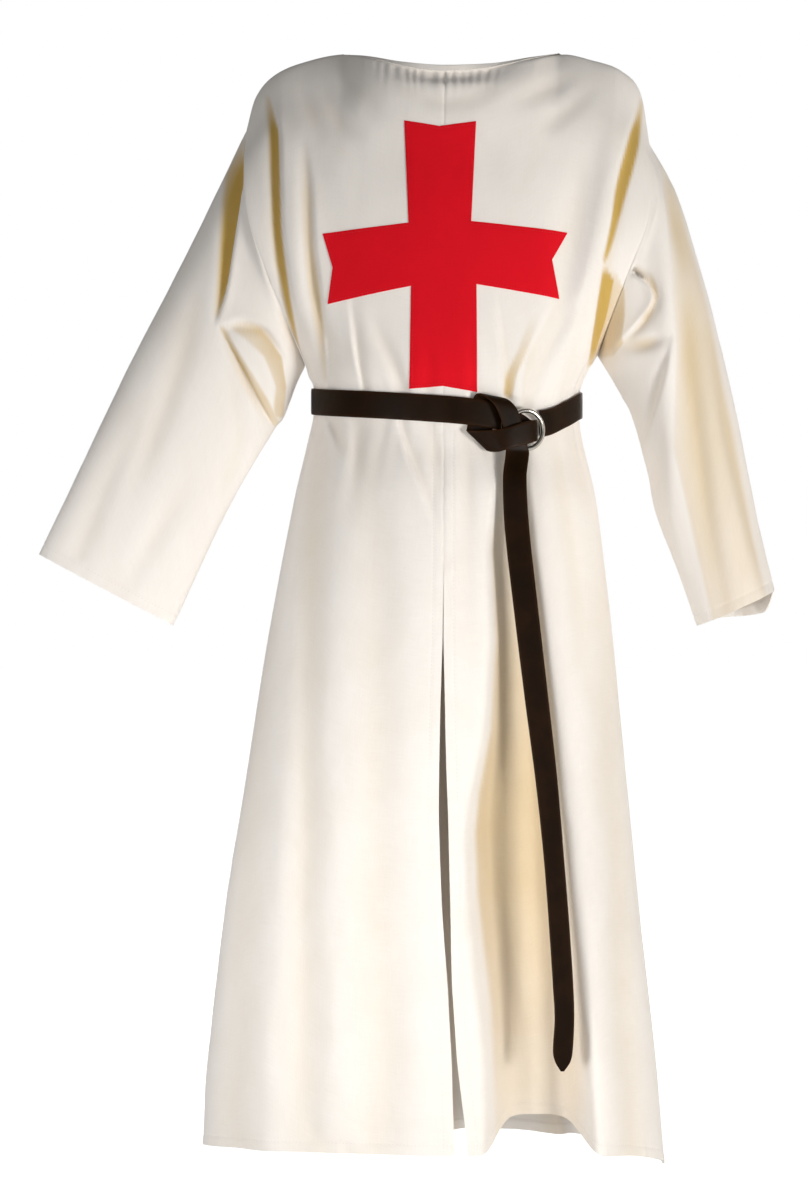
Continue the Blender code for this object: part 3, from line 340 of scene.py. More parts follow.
# The strap's knot, as its two edges beside the waist: x, height off the cloth, z of the
# edge that starts on top, then the same of the other edge
KNOT = np.array((
    (62, 4.8, -411.5, 62, 4.8, -442.5),
    (76, 4.0, -418.0, 76, 4.0, -448.0),
    (90, 4.2, -425.5, 90, 4.2, -454.0),
    (95, 6.4, -430.0, 95, 6.4, -454.5),
    (97, 11.2, -430.5, 97, 11.2, -454.5),
    (96, 16.8, -430.5, 97, 16.8, -455.5),
    (90, 20.0, -431.5, 92, 20.0, -457.0),
    (80, 20.8, -434.0, 82, 20.8, -460.5),
    (66, 20.6, -439.5, 68, 20.6, -464.5),
    (53, 18.0, -443.0, 59, 18.4, -468.0),
    (38, 12.6, -444.0, 53, 13.4, -469.5),
    (27, 9.2, -444.0, 48, 9.4, -469.0),
    (21, 5.6, -443.5, 45, 5.6, -467.0),
    (22, 2.0, -440.0, 46, 2.0, -462.0),
    (25, 1.6, -424.0, 53, 1.6, -438.0),
    (28, 1.8, -409.5, 59, 1.8, -413.0),
    (31, 4.9, -401.8, 62, 4.9, -406.5),
    (35, 10.0, -401.2, 66, 10.0, -407.0),
    (42, 14.2, -405.5, 71, 14.2, -412.0),
    (50, 15.6, -414.0, 76, 15.6, -420.0),
    (57, 15.8, -430.0, 81, 15.8, -436.0),
    (61, 15.8, -448.0, 85, 15.8, -452.0),
    (63, 15.0, -468.0, 89, 15.0, -470.0),
))
# The hanging tail: left edge x, right edge x, y, z
TAIL = np.array((
    (64, 92, -126, -500), (66, 95, -131, -560), (75, 104, -137, -644), (89, 117, -142, -760),
    (101, 127, -147, -852), (110, 134, -152, -937), (116, 140, -156, -1014),
    (121, 145, -160, -1093), (123, 146, -162, -1132), (121, 144, -163, -1171),
    (124, 141, -163, -1183), (130, 134, -163, -1193),
))
# Height of the waist strap off the cloth, from the ring's side round the back to the knot:
# turn about the waist in shares of a circle, height
STRAP_HEIGHT = np.array((
    (0.13, 4.0), (0.16, 1.8), (0.50, 1.8), (0.98, 1.8), (1.012, 4.9), (1.07, 4.9)))
STRAP_START, STRAP_END = 0.1165, 1.0645
RING_X, RING_Z, RING_HEIGHT = 88.0, -442.0, 9.3
RING_RADIUS, RING_WIRE = 22.8, 3.0

# The stage is in metres. Each light: name, place, target, side of its square, spread in
# degrees, power, colour
LIGHTS = (
    ("key, right", (2.25, -2.35, -1.05), (0, 0, -0.9), 0.8, 180, 54, "#fffdfa"),
    ("low left", (-1.5, -2.3, -1.05), (-0.14, 0, -1.04), 0.6, 44, 2.3, "#ffffff"),
    ("fill, front", (-0.6, -4.2, -1.1), (0, 0, -0.9), 2.2, 180, 8, "#ffffff"),
    ("right", (2.6, -0.7, -0.6), (0.1, 0, -0.7), 1.4, 180, 4, "#fff4e0"),
    ("back", (0.4, 3.4, 0.2), (0, 0, -0.6), 2.4, 180, 60, "#fffdf8"),
)
WORLD_LIGHT = 0.19     # how strongly the white surroundings light the surcoat
PAPER_GLOW = 0.26      # how strongly the floor's paper does
FLOOR_GAP, FLOOR_REACH = 0.10, 30.0     # below the hem, and out from the middle
CAMERA_PLACE = (-0.053, -3.6, -0.644)
VIEW_HEIGHT = 1.464    # height of the view across the surcoat
SENSOR_MM = 36

# Spacings of the threads and of the thread's twist as drawn, in metres, and a wave texture's
# scale at which its bands lie a metre apart
THREAD_SPACING, TWIST_SPACING = 0.0015, 0.0004
WAVE_SCALE = math.pi / 10


def linear(colour_hex):
    """Linear RGBA of an sRGB hex colour: c / 12.92 up to 0.04045, and above it
    ((c + 0.055) / 1.055)^2.4."""
    channels = [int(colour_hex[k:k + 2], 16) / 255 for k in (1, 3, 5)]
    return (*[c / 12.92 if c <= 0.04045 else ((c + 0.055) / 1.055) ** 2.4 for c in channels], 1.0)


def hermite(stations, values, at, steady=False):
    """Smooth curve through the values: a cubic between each two stations, whose slope at a
    station is that between its two neighbours. The values are numbers, or grids like at.
    A steady curve never swings past its values: its slope is held to twice the smaller of
    the slopes on either side, and is level at a turning point."""
    stations = np.asarray(stations, float)
    values = np.asarray(values, float)
    slopes = np.empty_like(values)
    span = (stations[2:] - stations[:-2]).reshape((-1,) + (1,) * (values.ndim - 1))
    slopes[1:-1] = (values[2:] - values[:-2]) / span
    slopes[0] = (values[1] - values[0]) / (stations[1] - stations[0])
    slopes[-1] = (values[-1] - values[-2]) / (stations[-1] - stations[-2])
    if steady:
        sides = np.diff(values) / np.diff(stations)
        least = np.minimum(np.abs(sides[:-1]), np.abs(sides[1:]))
        same_way = sides[:-1] * sides[1:] > 0
        slopes[1:-1] = np.where(same_way, np.clip(slopes[1:-1], -2 * least, 2 * least), 0)
    at = np.clip(at, stations[0], stations[-1])
    low = np.clip(np.searchsorted(stations, at, side="right") - 1, 0, len(stations) - 2)
    width = stations[low + 1] - stations[low]
    t = (at - stations[low]) / width
    blend = (2 * t**3 - 3 * t**2 + 1, (t**3 - 2 * t**2 + t) * width,
             3 * t**2 - 2 * t**3, (t**3 - t**2) * width)
    if values.ndim == 1:
        picks = (values[low], slopes[low], values[low + 1], slopes[low + 1])
    else:
        cell = np.indices(at.shape)
        picks = (values[(low, *cell)], slopes[(low, *cell)],
                 values[(low + 1, *cell)], slopes[(low + 1, *cell)])
    return sum(weight * pick for weight, pick in zip(blend, picks))


def curve(rows, at):
    """Smooth curve through the rows of a table, one row for each whole number."""
    return np.stack([hermite(np.arange(len(rows)), column, at) for column in rows.T], -1)


def unit(vectors):
    """Each vector divided by its length."""
    return vectors / np.maximum(np.linalg.norm(vectors, axis=-1, keepdims=True), 1e-9)


def ease(value):
    """3t^2 - 2t^3 of the value held between 0 and 1."""
    t = np.clip(value, 0, 1)
    return t * t * (3 - 2 * t)


def top_edge(side, share):
    """Point of the top edge at a share of the half width, for the front or the back."""
    columns = (1, 2, 4) if side == FRONT else (1, 3, 5)
    return np.stack([hermite(TOP_EDGE[:, 0], TOP_EDGE[:, c], share, steady=True)
                     for c in columns], -1)


def belt_height(side, share):
    """Height of the strap's middle in front of or behind a share of the width."""
    turn = share / 4 if side == FRONT else 0.5 - share / 4
    return hermite(BELT_LINE[:, 0], BELT_LINE[:, 1], turn)


def belt_slant(side, share):
    """How far the strap's line lies above the body's own belt sections."""
    middle = (SECTIONS[SECTIONS[:, 0] == BELT_TOP][0]
              + SECTIONS[SECTIONS[:, 0] == BELT_BOTTOM][0]) / 2
    z_seam = np.where(share < 0, middle[4], middle[7])
    z_mid = middle[5] if side == FRONT else middle[6]
    return belt_height(side, share) - (z_mid + (z_seam - z_mid) * share**2)


def form(side, share, station):
    """Point of the front or back before it is creased. share runs from -1 at the right seam
    to 1 at the left one, station from 0 at the top to 1 at the hem. Each section is a bow
    between its seams that turns into half an ellipse with its roundness, and the cloth is
    a smooth loft through the sections."""
    share, station = np.broadcast_arrays(np.asarray(share, float), np.asarray(station, float))
    top = top_edge(side, share)
    shoulder = np.clip((np.abs(share) - 0.1) / (NECK_SHARE - 0.1), 0, 1)
    tip = np.clip((np.abs(share) - 0.8) / 0.2, 0, 1)
    rows = [top, top + np.stack([0 * share, side * (3 + 17 * shoulder - 9 * tip),
                                 -(12 - 7 * shoulder)], -1)]
    away = np.abs(share)
    for (_, x_right, x_mid, x_left, z_right, z_front, z_back, z_left,
         edge_front, y_front, edge_back, y_back, roundness, top_share) in SECTIONS:
        x_seam = np.where(share < 0, x_right, x_left)
        z_seam = np.where(share < 0, z_right, z_left)
        y_seam, y_mid, z_mid = ((edge_front, y_front, z_front) if side == FRONT
                                else (edge_back, y_back, z_back))
        across = (1 - roundness) * away + roundness * np.sin(away * math.pi / 2)
        bow = (1 - roundness) * (1 - away**2) + roundness * np.cos(away * math.pi / 2)
        row = np.stack([x_mid + (x_seam - x_mid) * across,
                        y_seam + (y_mid - y_seam) * bow,
                        z_mid + (z_seam - z_mid) * away**2], -1)
        shifted = top + np.stack([0 * share, y_seam - 5 + side * 20 * shoulder * (1 - tip),
                                  -26 + 0 * share], -1)
        rows.append((1 - top_share) * row + top_share * shifted)
    stations = np.concatenate([(0, ROLL_STATION), SECTIONS[:, 0]])
    points = np.stack([hermite(stations, np.stack([row[..., c] for row in rows]), station)
                       for c in range(3)], -1)
    points[..., 2] += belt_slant(side, share) * np.exp(
        -((station - (BELT_TOP + BELT_BOTTOM) / 2) / BELT_SPREAD) ** 2)
    return points


def normals(surface, first, second, outwards, step=2e-3):
    """Unit normals of surface(first, second): the cross product of its two slopes."""
    along = surface(first + step, second) - surface(first - step, second)
    down = surface(first, second + step) - surface(first, np.maximum(second - step, 0))
    return unit(np.cross(along, down)) * outwards


def crease_depth(x, z, creases):
    """Sum over the creases of depth * exp(-(distance / half width)^2), the distance from the
    smooth line through a crease's rows, whose width and depth change along it. A lap's sum
    is its full depth on its trough's hand and a third of it, raised, on the other, with a
    tanh step between them."""
    total = np.zeros_like(x)
    for kind, rows in creases:
        rows = np.array(rows, float)
        line = curve(rows, np.linspace(0, len(rows) - 1, 7 * len(rows)))
        reach = CREASE_REACH * rows[:, 2].max()
        near = ((x > line[:, 0].min() - reach) & (x < line[:, 0].max() + reach)
                & (z > line[:, 1].min() - reach) & (z < line[:, 1].max() + reach))
        spot = np.stack([x[near], z[near]], -1)[:, None]
        start, step = line[:-1, :2], np.diff(line[:, :2], axis=0)
        off = spot - start
        share = np.clip(np.sum(off * step, -1) / np.sum(step**2, -1), 0, 1)
        off = off - share[..., None] * step
        nearest = np.argmin(np.sum(off**2, -1), axis=1)
        pick = np.arange(len(nearest)), nearest
        t = share[pick]
        width, depth = (line[nearest, c] * (1 - t) + line[nearest + 1, c] * t for c in (2, 3))
        away = np.linalg.norm(off[pick], axis=-1) / width
        bell = depth * np.exp(-away**2)
        if kind != SOFT:
            hand = np.sign(step[nearest, 0] * off[pick][:, 1] - step[nearest, 1] * off[pick][:, 0])
            step_up = np.tanh(kind * hand * away / LAP_STEP)
            bell = bell * (LAP_LEVEL + (1 - LAP_LEVEL) * step_up)
        total[near] += bell
    return total


def painted_shade_bands(x, z, bands):
    """Strength of the painted shade bands at each place, eased across each edge's softness."""
    total = 0 * x
    for soft_left, soft_right, rows in bands:
        rows = np.array(rows[::-1], float)
        left, right, strength = (np.interp(z, rows[:, 0], rows[:, c]) for c in (1, 2, 3))
        inside = ease((x - left) / soft_left + 0.5) * ease((right - x) / soft_right + 0.5)
        inside = inside * ease((z - rows[0, 0]) / 6) * ease((rows[-1, 0] - z) / 6)
        total = np.maximum(total, strength * inside)
    return total


def soft_noise(u, v, cell_u, cell_v, seed):
    """Value noise from -1 to 1: seeded numbers on a lattice, eased between its corners."""
    lattice = np.random.default_rng(seed).uniform(-1, 1, (LATTICE, LATTICE))
    u, v = u / cell_u + 40.37, v / cell_v + 40.73
    low_u, low_v = np.floor(u).astype(int), np.floor(v).astype(int)
    s, t = ease(u - low_u), ease(v - low_v)
    a, b = low_u % LATTICE, low_v % LATTICE
    c, d = (low_u + 1) % LATTICE, (low_v + 1) % LATTICE
    return ((1 - s) * (1 - t) * lattice[a, b] + s * (1 - t) * lattice[c, b]
            + (1 - s) * t * lattice[a, d] + s * t * lattice[c, d])


def gathers(side, share, station, x, z):
    """How far the small folds push the cloth in: under the neck binding a ripple of about
    11 mm that fades downwards, and above and below the strap uneven pleats of 20 to 40 mm
    that the strap presses flat."""
    girth = share * 250
    off_belt = z - belt_height(side, share)
    wander = 9 * soft_noise(girth, z, 60, 90, 11 + side)
    pleats = 0.5 + 0.5 * np.sin((girth + wander) / PLEAT_RADIAN
                                + 2.2 * soft_noise(girth, 0 * z, 34, 1, 5))
    uneven = 0.6 + 0.4 * soft_noise(girth, 0 * z, 47, 1, 19 - side)
    beyond = np.maximum(np.abs(off_belt) - 14, 0)
    reach = np.where(off_belt > 0, 34, 52)
    rise = 0.35 + 0.65 * ease(beyond / 9)
    pressed = PLEAT_DEPTH * pleats * uneven * rise * np.exp(-(beyond / reach) ** 1.4)
    drop = np.maximum(top_edge(side, share)[..., 2] - z, 0)
    ripple = 0.5 + 0.5 * np.sin(x / RIPPLE_RADIAN + 2.4 * soft_noise(x, z, 22, 60, 23))
    window = ease((92 - np.abs(x + 12)) / 40)
    window = window * (1.0 if side == FRONT else 0.5)
    fade = ease((drop - 4) / 4) * np.exp(-(drop / 26) ** 2)
    return pressed + RIPPLE_DEPTH * ripple * window * fade


def unevenness(x, z, seed):
    """The cloth's own small waves: broad ones that grow down the skirt, and fine rumples."""
    lower = ease((-z - 430) / 800)
    return sum((depth + growth * lower) * soft_noise(x, z, width, height, seed + k)
               for k, (depth, growth, width, height) in enumerate(WAVES))


def recess_depth(x, z):
    """Depth of the pleat under the belt's tail: depth * exp(-|x - middle| / half width)^p."""
    rows = RECESS[::-1]
    left, right, deep = (np.interp(z, rows[:, 0], rows[:, c]) for c in (1, 2, 3))
    deep = np.where(z > RECESS[0, 0], 0, deep)
    return deep * np.exp(-(np.abs(2 * x - left - right) / (right - left)) ** RECESS_POWER)


def painted_shade_strength(x, z):
    """How strongly folds carry painted shade: most beside the armholes, where it stands in for
    the deep warm shade of cloth lying double with light coming through it, and less than half
    as much elsewhere."""
    beside = ease((np.abs(x) - 145) / 35) * ease((-20 - z) / 60) * ease((z + 400) / 60)
    return 0.25 + 0.35 * beside


def under_neck(share):
    """1 under the neckline and 0 under the shoulder seams, eased between them."""
    return ease((NECK_SHARE + NECK_FADE - np.abs(share)) / NECK_FADE)


def body(side, share, station, panel_side=0, with_painted_shade=False):
    """Point of the finished front or back: the form, pushed straight in along Y by its
    creases and its pleat and along its normal by gathers and unevenness, all of which die
    out at the seams. A front panel also opens at the slit. With its last flag set it also
    returns the painted shade of each point, as a depth in mm."""
    share, station = np.broadcast_arrays(np.asarray(share, float), np.asarray(station, float))
    points = form(side, share, station)
    outward = normals(lambda a, b: form(side, a, b), np.clip(share, -0.995, 0.995),
                      np.maximum(station, 0.003), side)
    x, z = points[..., 0].copy(), points[..., 2].copy()
    creases = crease_depth(x, z, FRONT_CREASES if side == FRONT else BACK_CREASES)
    pleat = recess_depth(x, z) if side == FRONT else 0 * x
    seam = ease((1 - np.abs(share)) / SEAM_FADE)
    drop = ease(station / 0.02)
    small = gathers(side, share, station, x, z) + unevenness(x, z, 31 + side) * (
        1 - 0.8 * np.exp(-((z - belt_height(side, share)) / 24) ** 2))
    neck = under_neck(share)
    quiet_top = neck * ease(station / 0.006) + (1 - neck) * drop
    points[..., 1] -= side * seam * (creases * drop + pleat)
    points -= outward * (small * seam * quiet_top)[..., None]
    below = np.clip((station - BELT_BOTTOM) / (1 - BELT_BOTTOM), 0, 1)
    points[..., 2] += RECESS_RISE * pleat * seam * below
    if panel_side:
        gap = np.interp(-z, -SLIT_GAP[:, 0], SLIT_GAP[:, 1])
        points[..., 0] += panel_side * gap * np.exp(-np.abs(share) / SLIT_REACH)
    # Painted shade of each point, as a depth in mm: the folds' depth weighted by place, and the
    # painted shade bands on the front
    if with_painted_shade:
        bands = painted_shade_bands(x, z, BODY_PAINTED_SHADE) if side == FRONT else 0 * x
        return points, ((creases + 0.05 * pleat + 0.2 * small) * seam * painted_shade_strength(x, z)
                        + FULL_PAINTED_SHADE * bands)
    return points


def sleeve_form(side, turn, station):
    """Point of a sleeve before it is creased. turn runs round the tube in shares of a circle
    from the shoulder over the front, station from 0 at the armhole to 1 at the cuff. It is a
    smooth loft from the armhole's edge on the body through ellipses: centre + W cos(turn) +
    D sin(turn)."""
    turn, station = np.broadcast_arrays(np.asarray(turn, float), np.asarray(station, float))
    angle = turn * 2 * math.pi
    drop = UNDERARM * (1 - np.cos(angle)) / 2
    in_front = (np.mod(turn, 1.0) <= 0.5)[..., None]
    rows = [np.where(in_front, form(FRONT, side + 0 * turn, drop),
                     form(BACK, side + 0 * turn, drop))]
    for ring in SLEEVE_RINGS[side]:
        outer, inner = ring[1:4], ring[4:7]
        centre, half = (outer + inner) / 2, (outer - inner) / 2
        forward = unit(np.cross(half, np.cross((0, -1, 0), half)))
        rows.append(centre + half * np.cos(angle)[..., None]
                    + ring[7] * forward * np.sin(angle)[..., None])
    stations = np.concatenate([(0,), SLEEVE_RINGS[side][:, 0]])
    return np.stack([hermite(stations, np.stack([row[..., c] for row in rows]), station)
                     for c in range(3)], -1)


def sleeve(side, turn, station, with_painted_shade=False):
    """Point of the finished sleeve: its form pushed in along its normal by creases on the
    front, similar ones lower down on the back, and unevenness. All die out at the armhole.
    The left cuff hangs lower behind, so that its inside shows."""
    turn, station = np.broadcast_arrays(np.asarray(turn, float), np.asarray(station, float))
    points = sleeve_form(side, turn, station)
    outward = normals(lambda a, b: sleeve_form(side, a, b), turn, np.maximum(station, 0.004), side)
    x, z = points[..., 0].copy(), points[..., 2].copy()
    creases = LEFT_SLEEVE_CREASES if side == LEFT else RIGHT_SLEEVE_CREASES
    facing = np.sin(turn * 2 * math.pi)
    depth = (ease(facing * 2.2) * crease_depth(x, z, creases)
             + ease(-facing * 2.2) * crease_depth(x + side * ECHO_X, z + ECHO_Z, creases))
    small = SLEEVE_CALM * unevenness(x, z + 300 * (facing < 0), 47 + side)
    start = ease(station / 0.045)
    total = (depth + small) * start
    points -= outward * total[..., None]
    if side == LEFT:
        behind = ease(-facing * 1.6) * ease(0.5 + 0.5 * np.cos(turn * 2 * math.pi))
        points[..., 2] -= CUFF_DROP * behind * ease((station - 0.8) / 0.2)
    # Painted shade of each point, as a depth in mm: the creases' depth, stronger towards the
    # shoulder, and the painted shade bands on the sleeve's front
    if with_painted_shade:
        bands = painted_shade_bands(x, z, LEFT_SLEEVE_PAINTED_SHADE if side == LEFT else RIGHT_SLEEVE_PAINTED_SHADE)
        return points, (total * (0.3 + 0.4 * ease((0.62 - station) / 0.3))
                        + FULL_PAINTED_SHADE * bands * ease(facing * 4))
    return points


def waist(turn, height, z):
    """Point beside the belted waist: an ellipse through the belt's section, at a turn in
    shares of a circle from the centre front over the wearer's left, moved off by height."""
    angle = np.asarray(turn, float) * 2 * math.pi
    half_x = np.where(np.sin(angle) < 0, WAIST_MIDDLE - WAIST_RIGHT, WAIST_LEFT - WAIST_MIDDLE)
    half_y = np.where(np.cos(angle) > 0, WAIST_SEAM - WAIST_FRONT, WAIST_BACK - WAIST_SEAM)
    x = WAIST_MIDDLE + half_x * np.sin(angle)
    y = WAIST_SEAM - half_y * np.cos(angle)
    out = unit(np.stack([np.sin(angle) / half_x, -np.cos(angle) / half_y, 0 * angle], -1))
    return np.stack([x, y, z + 0 * angle], -1) + out * np.asarray(height, float)[..., None]


def beside_waist(columns):
    """World points from rows of x, height off the cloth and z at the front of the waist."""
    sine = (columns[:, 0] - WAIST_MIDDLE) / (WAIST_LEFT - WAIST_MIDDLE)
    turn = np.arcsin(np.clip(sine, -1, 1)) / (2 * math.pi)
    return waist(turn, columns[:, 1], columns[:, 2])


def on_front(x, z, lift):
    """Point on the front at each (x, z), raised by lift along the cloth's normal. It steps
    share and station towards the place, first on the form and then on the finished cloth."""
    share, station = (x + 6) / HALF_WIDTH, -z / DROP
    for surface, steps in ((form, 22), (body, 3)):
        for _ in range(steps):
            points = surface(FRONT, share, station)
            share = np.clip(share + (x - points[..., 0]) / HALF_WIDTH, -1, 1)
            station = np.clip(station + (points[..., 2] - z) / DROP, 0, 1)
    outward = normals(lambda a, b: body(FRONT, a, b), share, station, FRONT)
    return body(FRONT, share, station) + outward * np.asarray(lift)[..., None], outward


def run_length(points):
    """Length along a line of points, up to each of them."""
    return np.concatenate([(0,), np.cumsum(np.linalg.norm(np.diff(points, axis=0), axis=-1))])


def measured(points):
    """Width and length coordinates of a grid in metres: lengths summed along its rows and
    down its columns, both counted from the middle column and the first row."""
    across = np.linalg.norm(np.diff(points, axis=1), axis=-1)
    down = np.linalg.norm(np.diff(points, axis=0), axis=-1)
    u = np.concatenate([np.zeros((len(points), 1)), np.cumsum(across, axis=1)], 1)
    u -= u[:, u.shape[1] // 2][:, None]
    v = np.concatenate([np.zeros((1, points.shape[1])), np.cumsum(down, axis=0)], 0)
    return np.stack([u, v], -1) * MM


def new_mesh(name, points, faces, flat=None, **marks):
    """Smooth mesh of points in mm and lists of faces, with a UV map in metres and with
    attributes of its points where they are given."""
    mesh = bpy.data.meshes.new(name)
    mesh.from_pydata((points.reshape(-1, 3) * MM).tolist(), [], faces)
    if flat is not None:
        mesh.uv_layers.new(name="cloth").data.foreach_set("uv", flat.ravel())
    for mark, values in marks.items():
        layer = mesh.attributes.new(mark, "FLOAT", "POINT")
        layer.data.foreach_set("value", values.astype(np.float32))
    mesh.shade_smooth()
    return mesh


def cloth_wall(name, outer, outward, thickness, depth, tube):
    """Closed cloth between a grid of outer points and the same grid moved in along its
    normals by thickness. A tube's last column repeats its first and is joined to it. It has
    a UV map in metres, and its painted fold shade, from 0 to 1, as an attribute."""
    rows, columns = outer.shape[:2]
    kept = columns - 1 if tube else columns
    inner = outer - outward * thickness[..., None]
    count = rows * kept
    r, c = np.meshgrid(np.arange(rows - 1), np.arange(columns - 1), indexing="ij")
    cells = np.stack([r * columns + c, (r + 1) * columns + c,
                      (r + 1) * columns + c + 1, r * columns + c + 1], -1).reshape(-1, 4)
    total = rows * columns
    faces = [cells, cells[:, ::-1] + total]
    c = np.arange(columns - 1)
    for row, flip in ((0, 1), (rows - 1, -1)):
        rim = np.stack([row * columns + c, row * columns + c + 1,
                        row * columns + c + 1 + total, row * columns + c + total], -1)
        faces.append(rim[:, ::flip])
    if not tube:
        r = np.arange(rows - 1)
        for column, flip in ((0, 1), (columns - 1, -1)):
            rim = np.stack([r * columns + column, (r + 1) * columns + column,
                            (r + 1) * columns + column + total, r * columns + column + total], -1)
            faces.append(rim[:, ::-flip])
    faces = np.concatenate(faces)
    turned = np.cross(outer[1, 1] - outer[0, 1], outer[0, 2] - outer[0, 1])
    if np.sum(turned * outward[0, 1]) < 0:
        faces = faces[:, ::-1]
    row, column = np.divmod(faces % total, columns)
    vertex = row * kept + column % kept + count * (faces // total)
    flat = measured(outer).reshape(-1, 2)
    # painted fold shade of each point, from 0 to 1
    hollow = np.clip(depth[:, :kept].ravel() / FULL_PAINTED_SHADE, 0, 1)
    mesh = new_mesh(name, np.stack([outer[:, :kept], inner[:, :kept]]), vertex.tolist(),
                    flat[faces % total], hollow=np.concatenate([hollow, hollow]))
    mesh.set_sharp_from_angle(angle=math.radians(62))
    return mesh


def grid_normals(points, outwards, tube=False):
    """Unit normals of a grid: the cross product of its differences along rows and columns."""
    if tube:
        wrapped = np.concatenate([points[:, -2:-1], points, points[:, 1:2]], 1)
        along = (wrapped[:, 2:] - wrapped[:, :-2]) / 2
    else:
        along = np.gradient(points, axis=1)
    return unit(np.cross(along, np.gradient(points, axis=0))) * outwards


def add_piece(context, name, mesh, slot, node=None, finish=None):
    """Link a mesh as a piece that rides on the body and stands for its CAD node. It has its
    slot's material, or that of its finish."""
    mesh.name = name
    mesh.materials.append(material_for(context, finish or slot))
    piece = bpy.data.objects.new(name, mesh)
    context.scene.collection.objects.link(piece)
    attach(piece, "root")
    if node:
        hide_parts(node)
    return piece


def add_sheet(context, name, mesh, slot, node):
    """Add a piece of cloth."""
    piece = add_piece(context, name, mesh, slot, node)
    return piece


def connect(tree, node, inputs):
    """Link or set a node's inputs, given by name or number."""
    for name, value in inputs.items():
        if isinstance(value, bpy.types.NodeSocket):
            tree.links.new(value, node.inputs[name])
        else:
            node.inputs[name].default_value = value


def add_node(tree, kind, output, inputs, **settings):
    """Add a shader node with its settings and inputs, and return one of its outputs."""
    node = tree.nodes.new("ShaderNode" + kind)
    for name, value in settings.items():
        setattr(node, name, value)
    connect(tree, node, inputs)
    return node.outputs[output]


def start_material(name, roughness, **sockets):
    """New material with a Principled shader, whose constants are set on its own sockets."""
    material = bpy.data.materials.new(name)
    material.use_nodes = True
    shader = material.node_tree.nodes["Principled BSDF"]
    shader.inputs["Roughness"].default_value = roughness
    for socket, value in sockets.items():
        shader.inputs[socket.replace("_", " ")].default_value = value
    return material.node_tree, shader, material


def woven(name, face, hollow, sheen):
    """Plain-woven cotton, mid weight, washed: dull, with a soft nap that catches light at
    grazing angles. Warp and weft cross as small bumps, and single threads are thicker or thinner
    for a few centimetres. Inside its folds the colour is mixed towards a deeper, warmer one:
    painted shade that stands in for the shade of the folds and the light passed through the
    cloth or bounced in it, with a random mottle on top. Thread spacing is 0.5 mm on the real
    cloth, and is drawn at 1.5 mm to show."""
    tree, shader, material = start_material(
        name, 0.86, Sheen_Weight=sheen, Sheen_Roughness=0.55, IOR=1.46,
        Specular_IOR_Level=0.22)
    place = add_node(tree, "UVMap", "UV", {}, uv_map="cloth")
    warp, weft = (
        add_node(tree, "TexWave", "Fac", {"Vector": place, "Scale": WAVE_SCALE / THREAD_SPACING,
                                          "Distortion": 0.9, "Detail": 1.0, "Detail Scale": 0.4},
                 bands_direction=direction) for direction in ("X", "Y"))
    weave = add_node(tree, "Math", 0, {0: warp, 1: weft}, operation="MULTIPLY")
    uneven_warp, uneven_weft = (
        add_node(tree, "TexNoise", "Fac", {
            "Vector": add_node(tree, "Mapping", 0, {"Vector": place, "Scale": scale}),
            "Scale": 1.0, "Detail": 2.0}, noise_dimensions="2D")
        for scale in ((900, 38, 1), (38, 900, 1)))
    slub = add_node(tree, "Math", 0, {0: uneven_warp, 1: uneven_weft}, operation="ADD")
    nap, mottle = (
        add_node(tree, "TexNoise", "Fac", {"Vector": place, "Scale": scale, "Detail": detail},
                 noise_dimensions="2D") for scale, detail in ((700.0, 3.0), (16.0, 4.0)))
    # Painted shade: the mesh's painted fold shade, plus a random mottle, mixes the face colour
    # towards the painted shade colour
    depth = add_node(tree, "Attribute", "Fac", {}, attribute_name="hollow")
    shade = add_node(tree, "Math", 0, {0: depth, 1: 1.1}, operation="POWER")
    cloudy = add_node(tree, "Math", 0, {0: mottle, 1: 0.12, 2: -0.06}, operation="MULTIPLY_ADD")
    shade = add_node(tree, "Math", 0, {0: shade, 1: cloudy}, operation="ADD")
    tint = add_node(tree, "Mix", 2, {"Factor": shade, 6: face, 7: hollow}, data_type="RGBA")
    grain = add_node(tree, "Math", 0, {0: slub, 1: 0.06, 2: 0.94}, operation="MULTIPLY_ADD")
    tone = add_node(tree, "Mix", 2, {"Factor": 1.0, 6: tint, 7: grain},
                    data_type="RGBA", blend_type="MULTIPLY")
    threads = add_node(tree, "Math", 0, {0: slub, 1: 0.5}, operation="MULTIPLY")
    threads = add_node(tree, "Math", 0, {0: weave, 1: 0.55, 2: threads},
                       operation="MULTIPLY_ADD")
    height = add_node(tree, "Math", 0, {0: nap, 1: 0.5, 2: threads}, operation="MULTIPLY_ADD")
    bump = add_node(tree, "Bump", 0, {"Height": height, "Strength": 0.20, "Distance": 0.0006})
    connect(tree, shader, {"Base Color": tone, "Normal": bump})
    return material


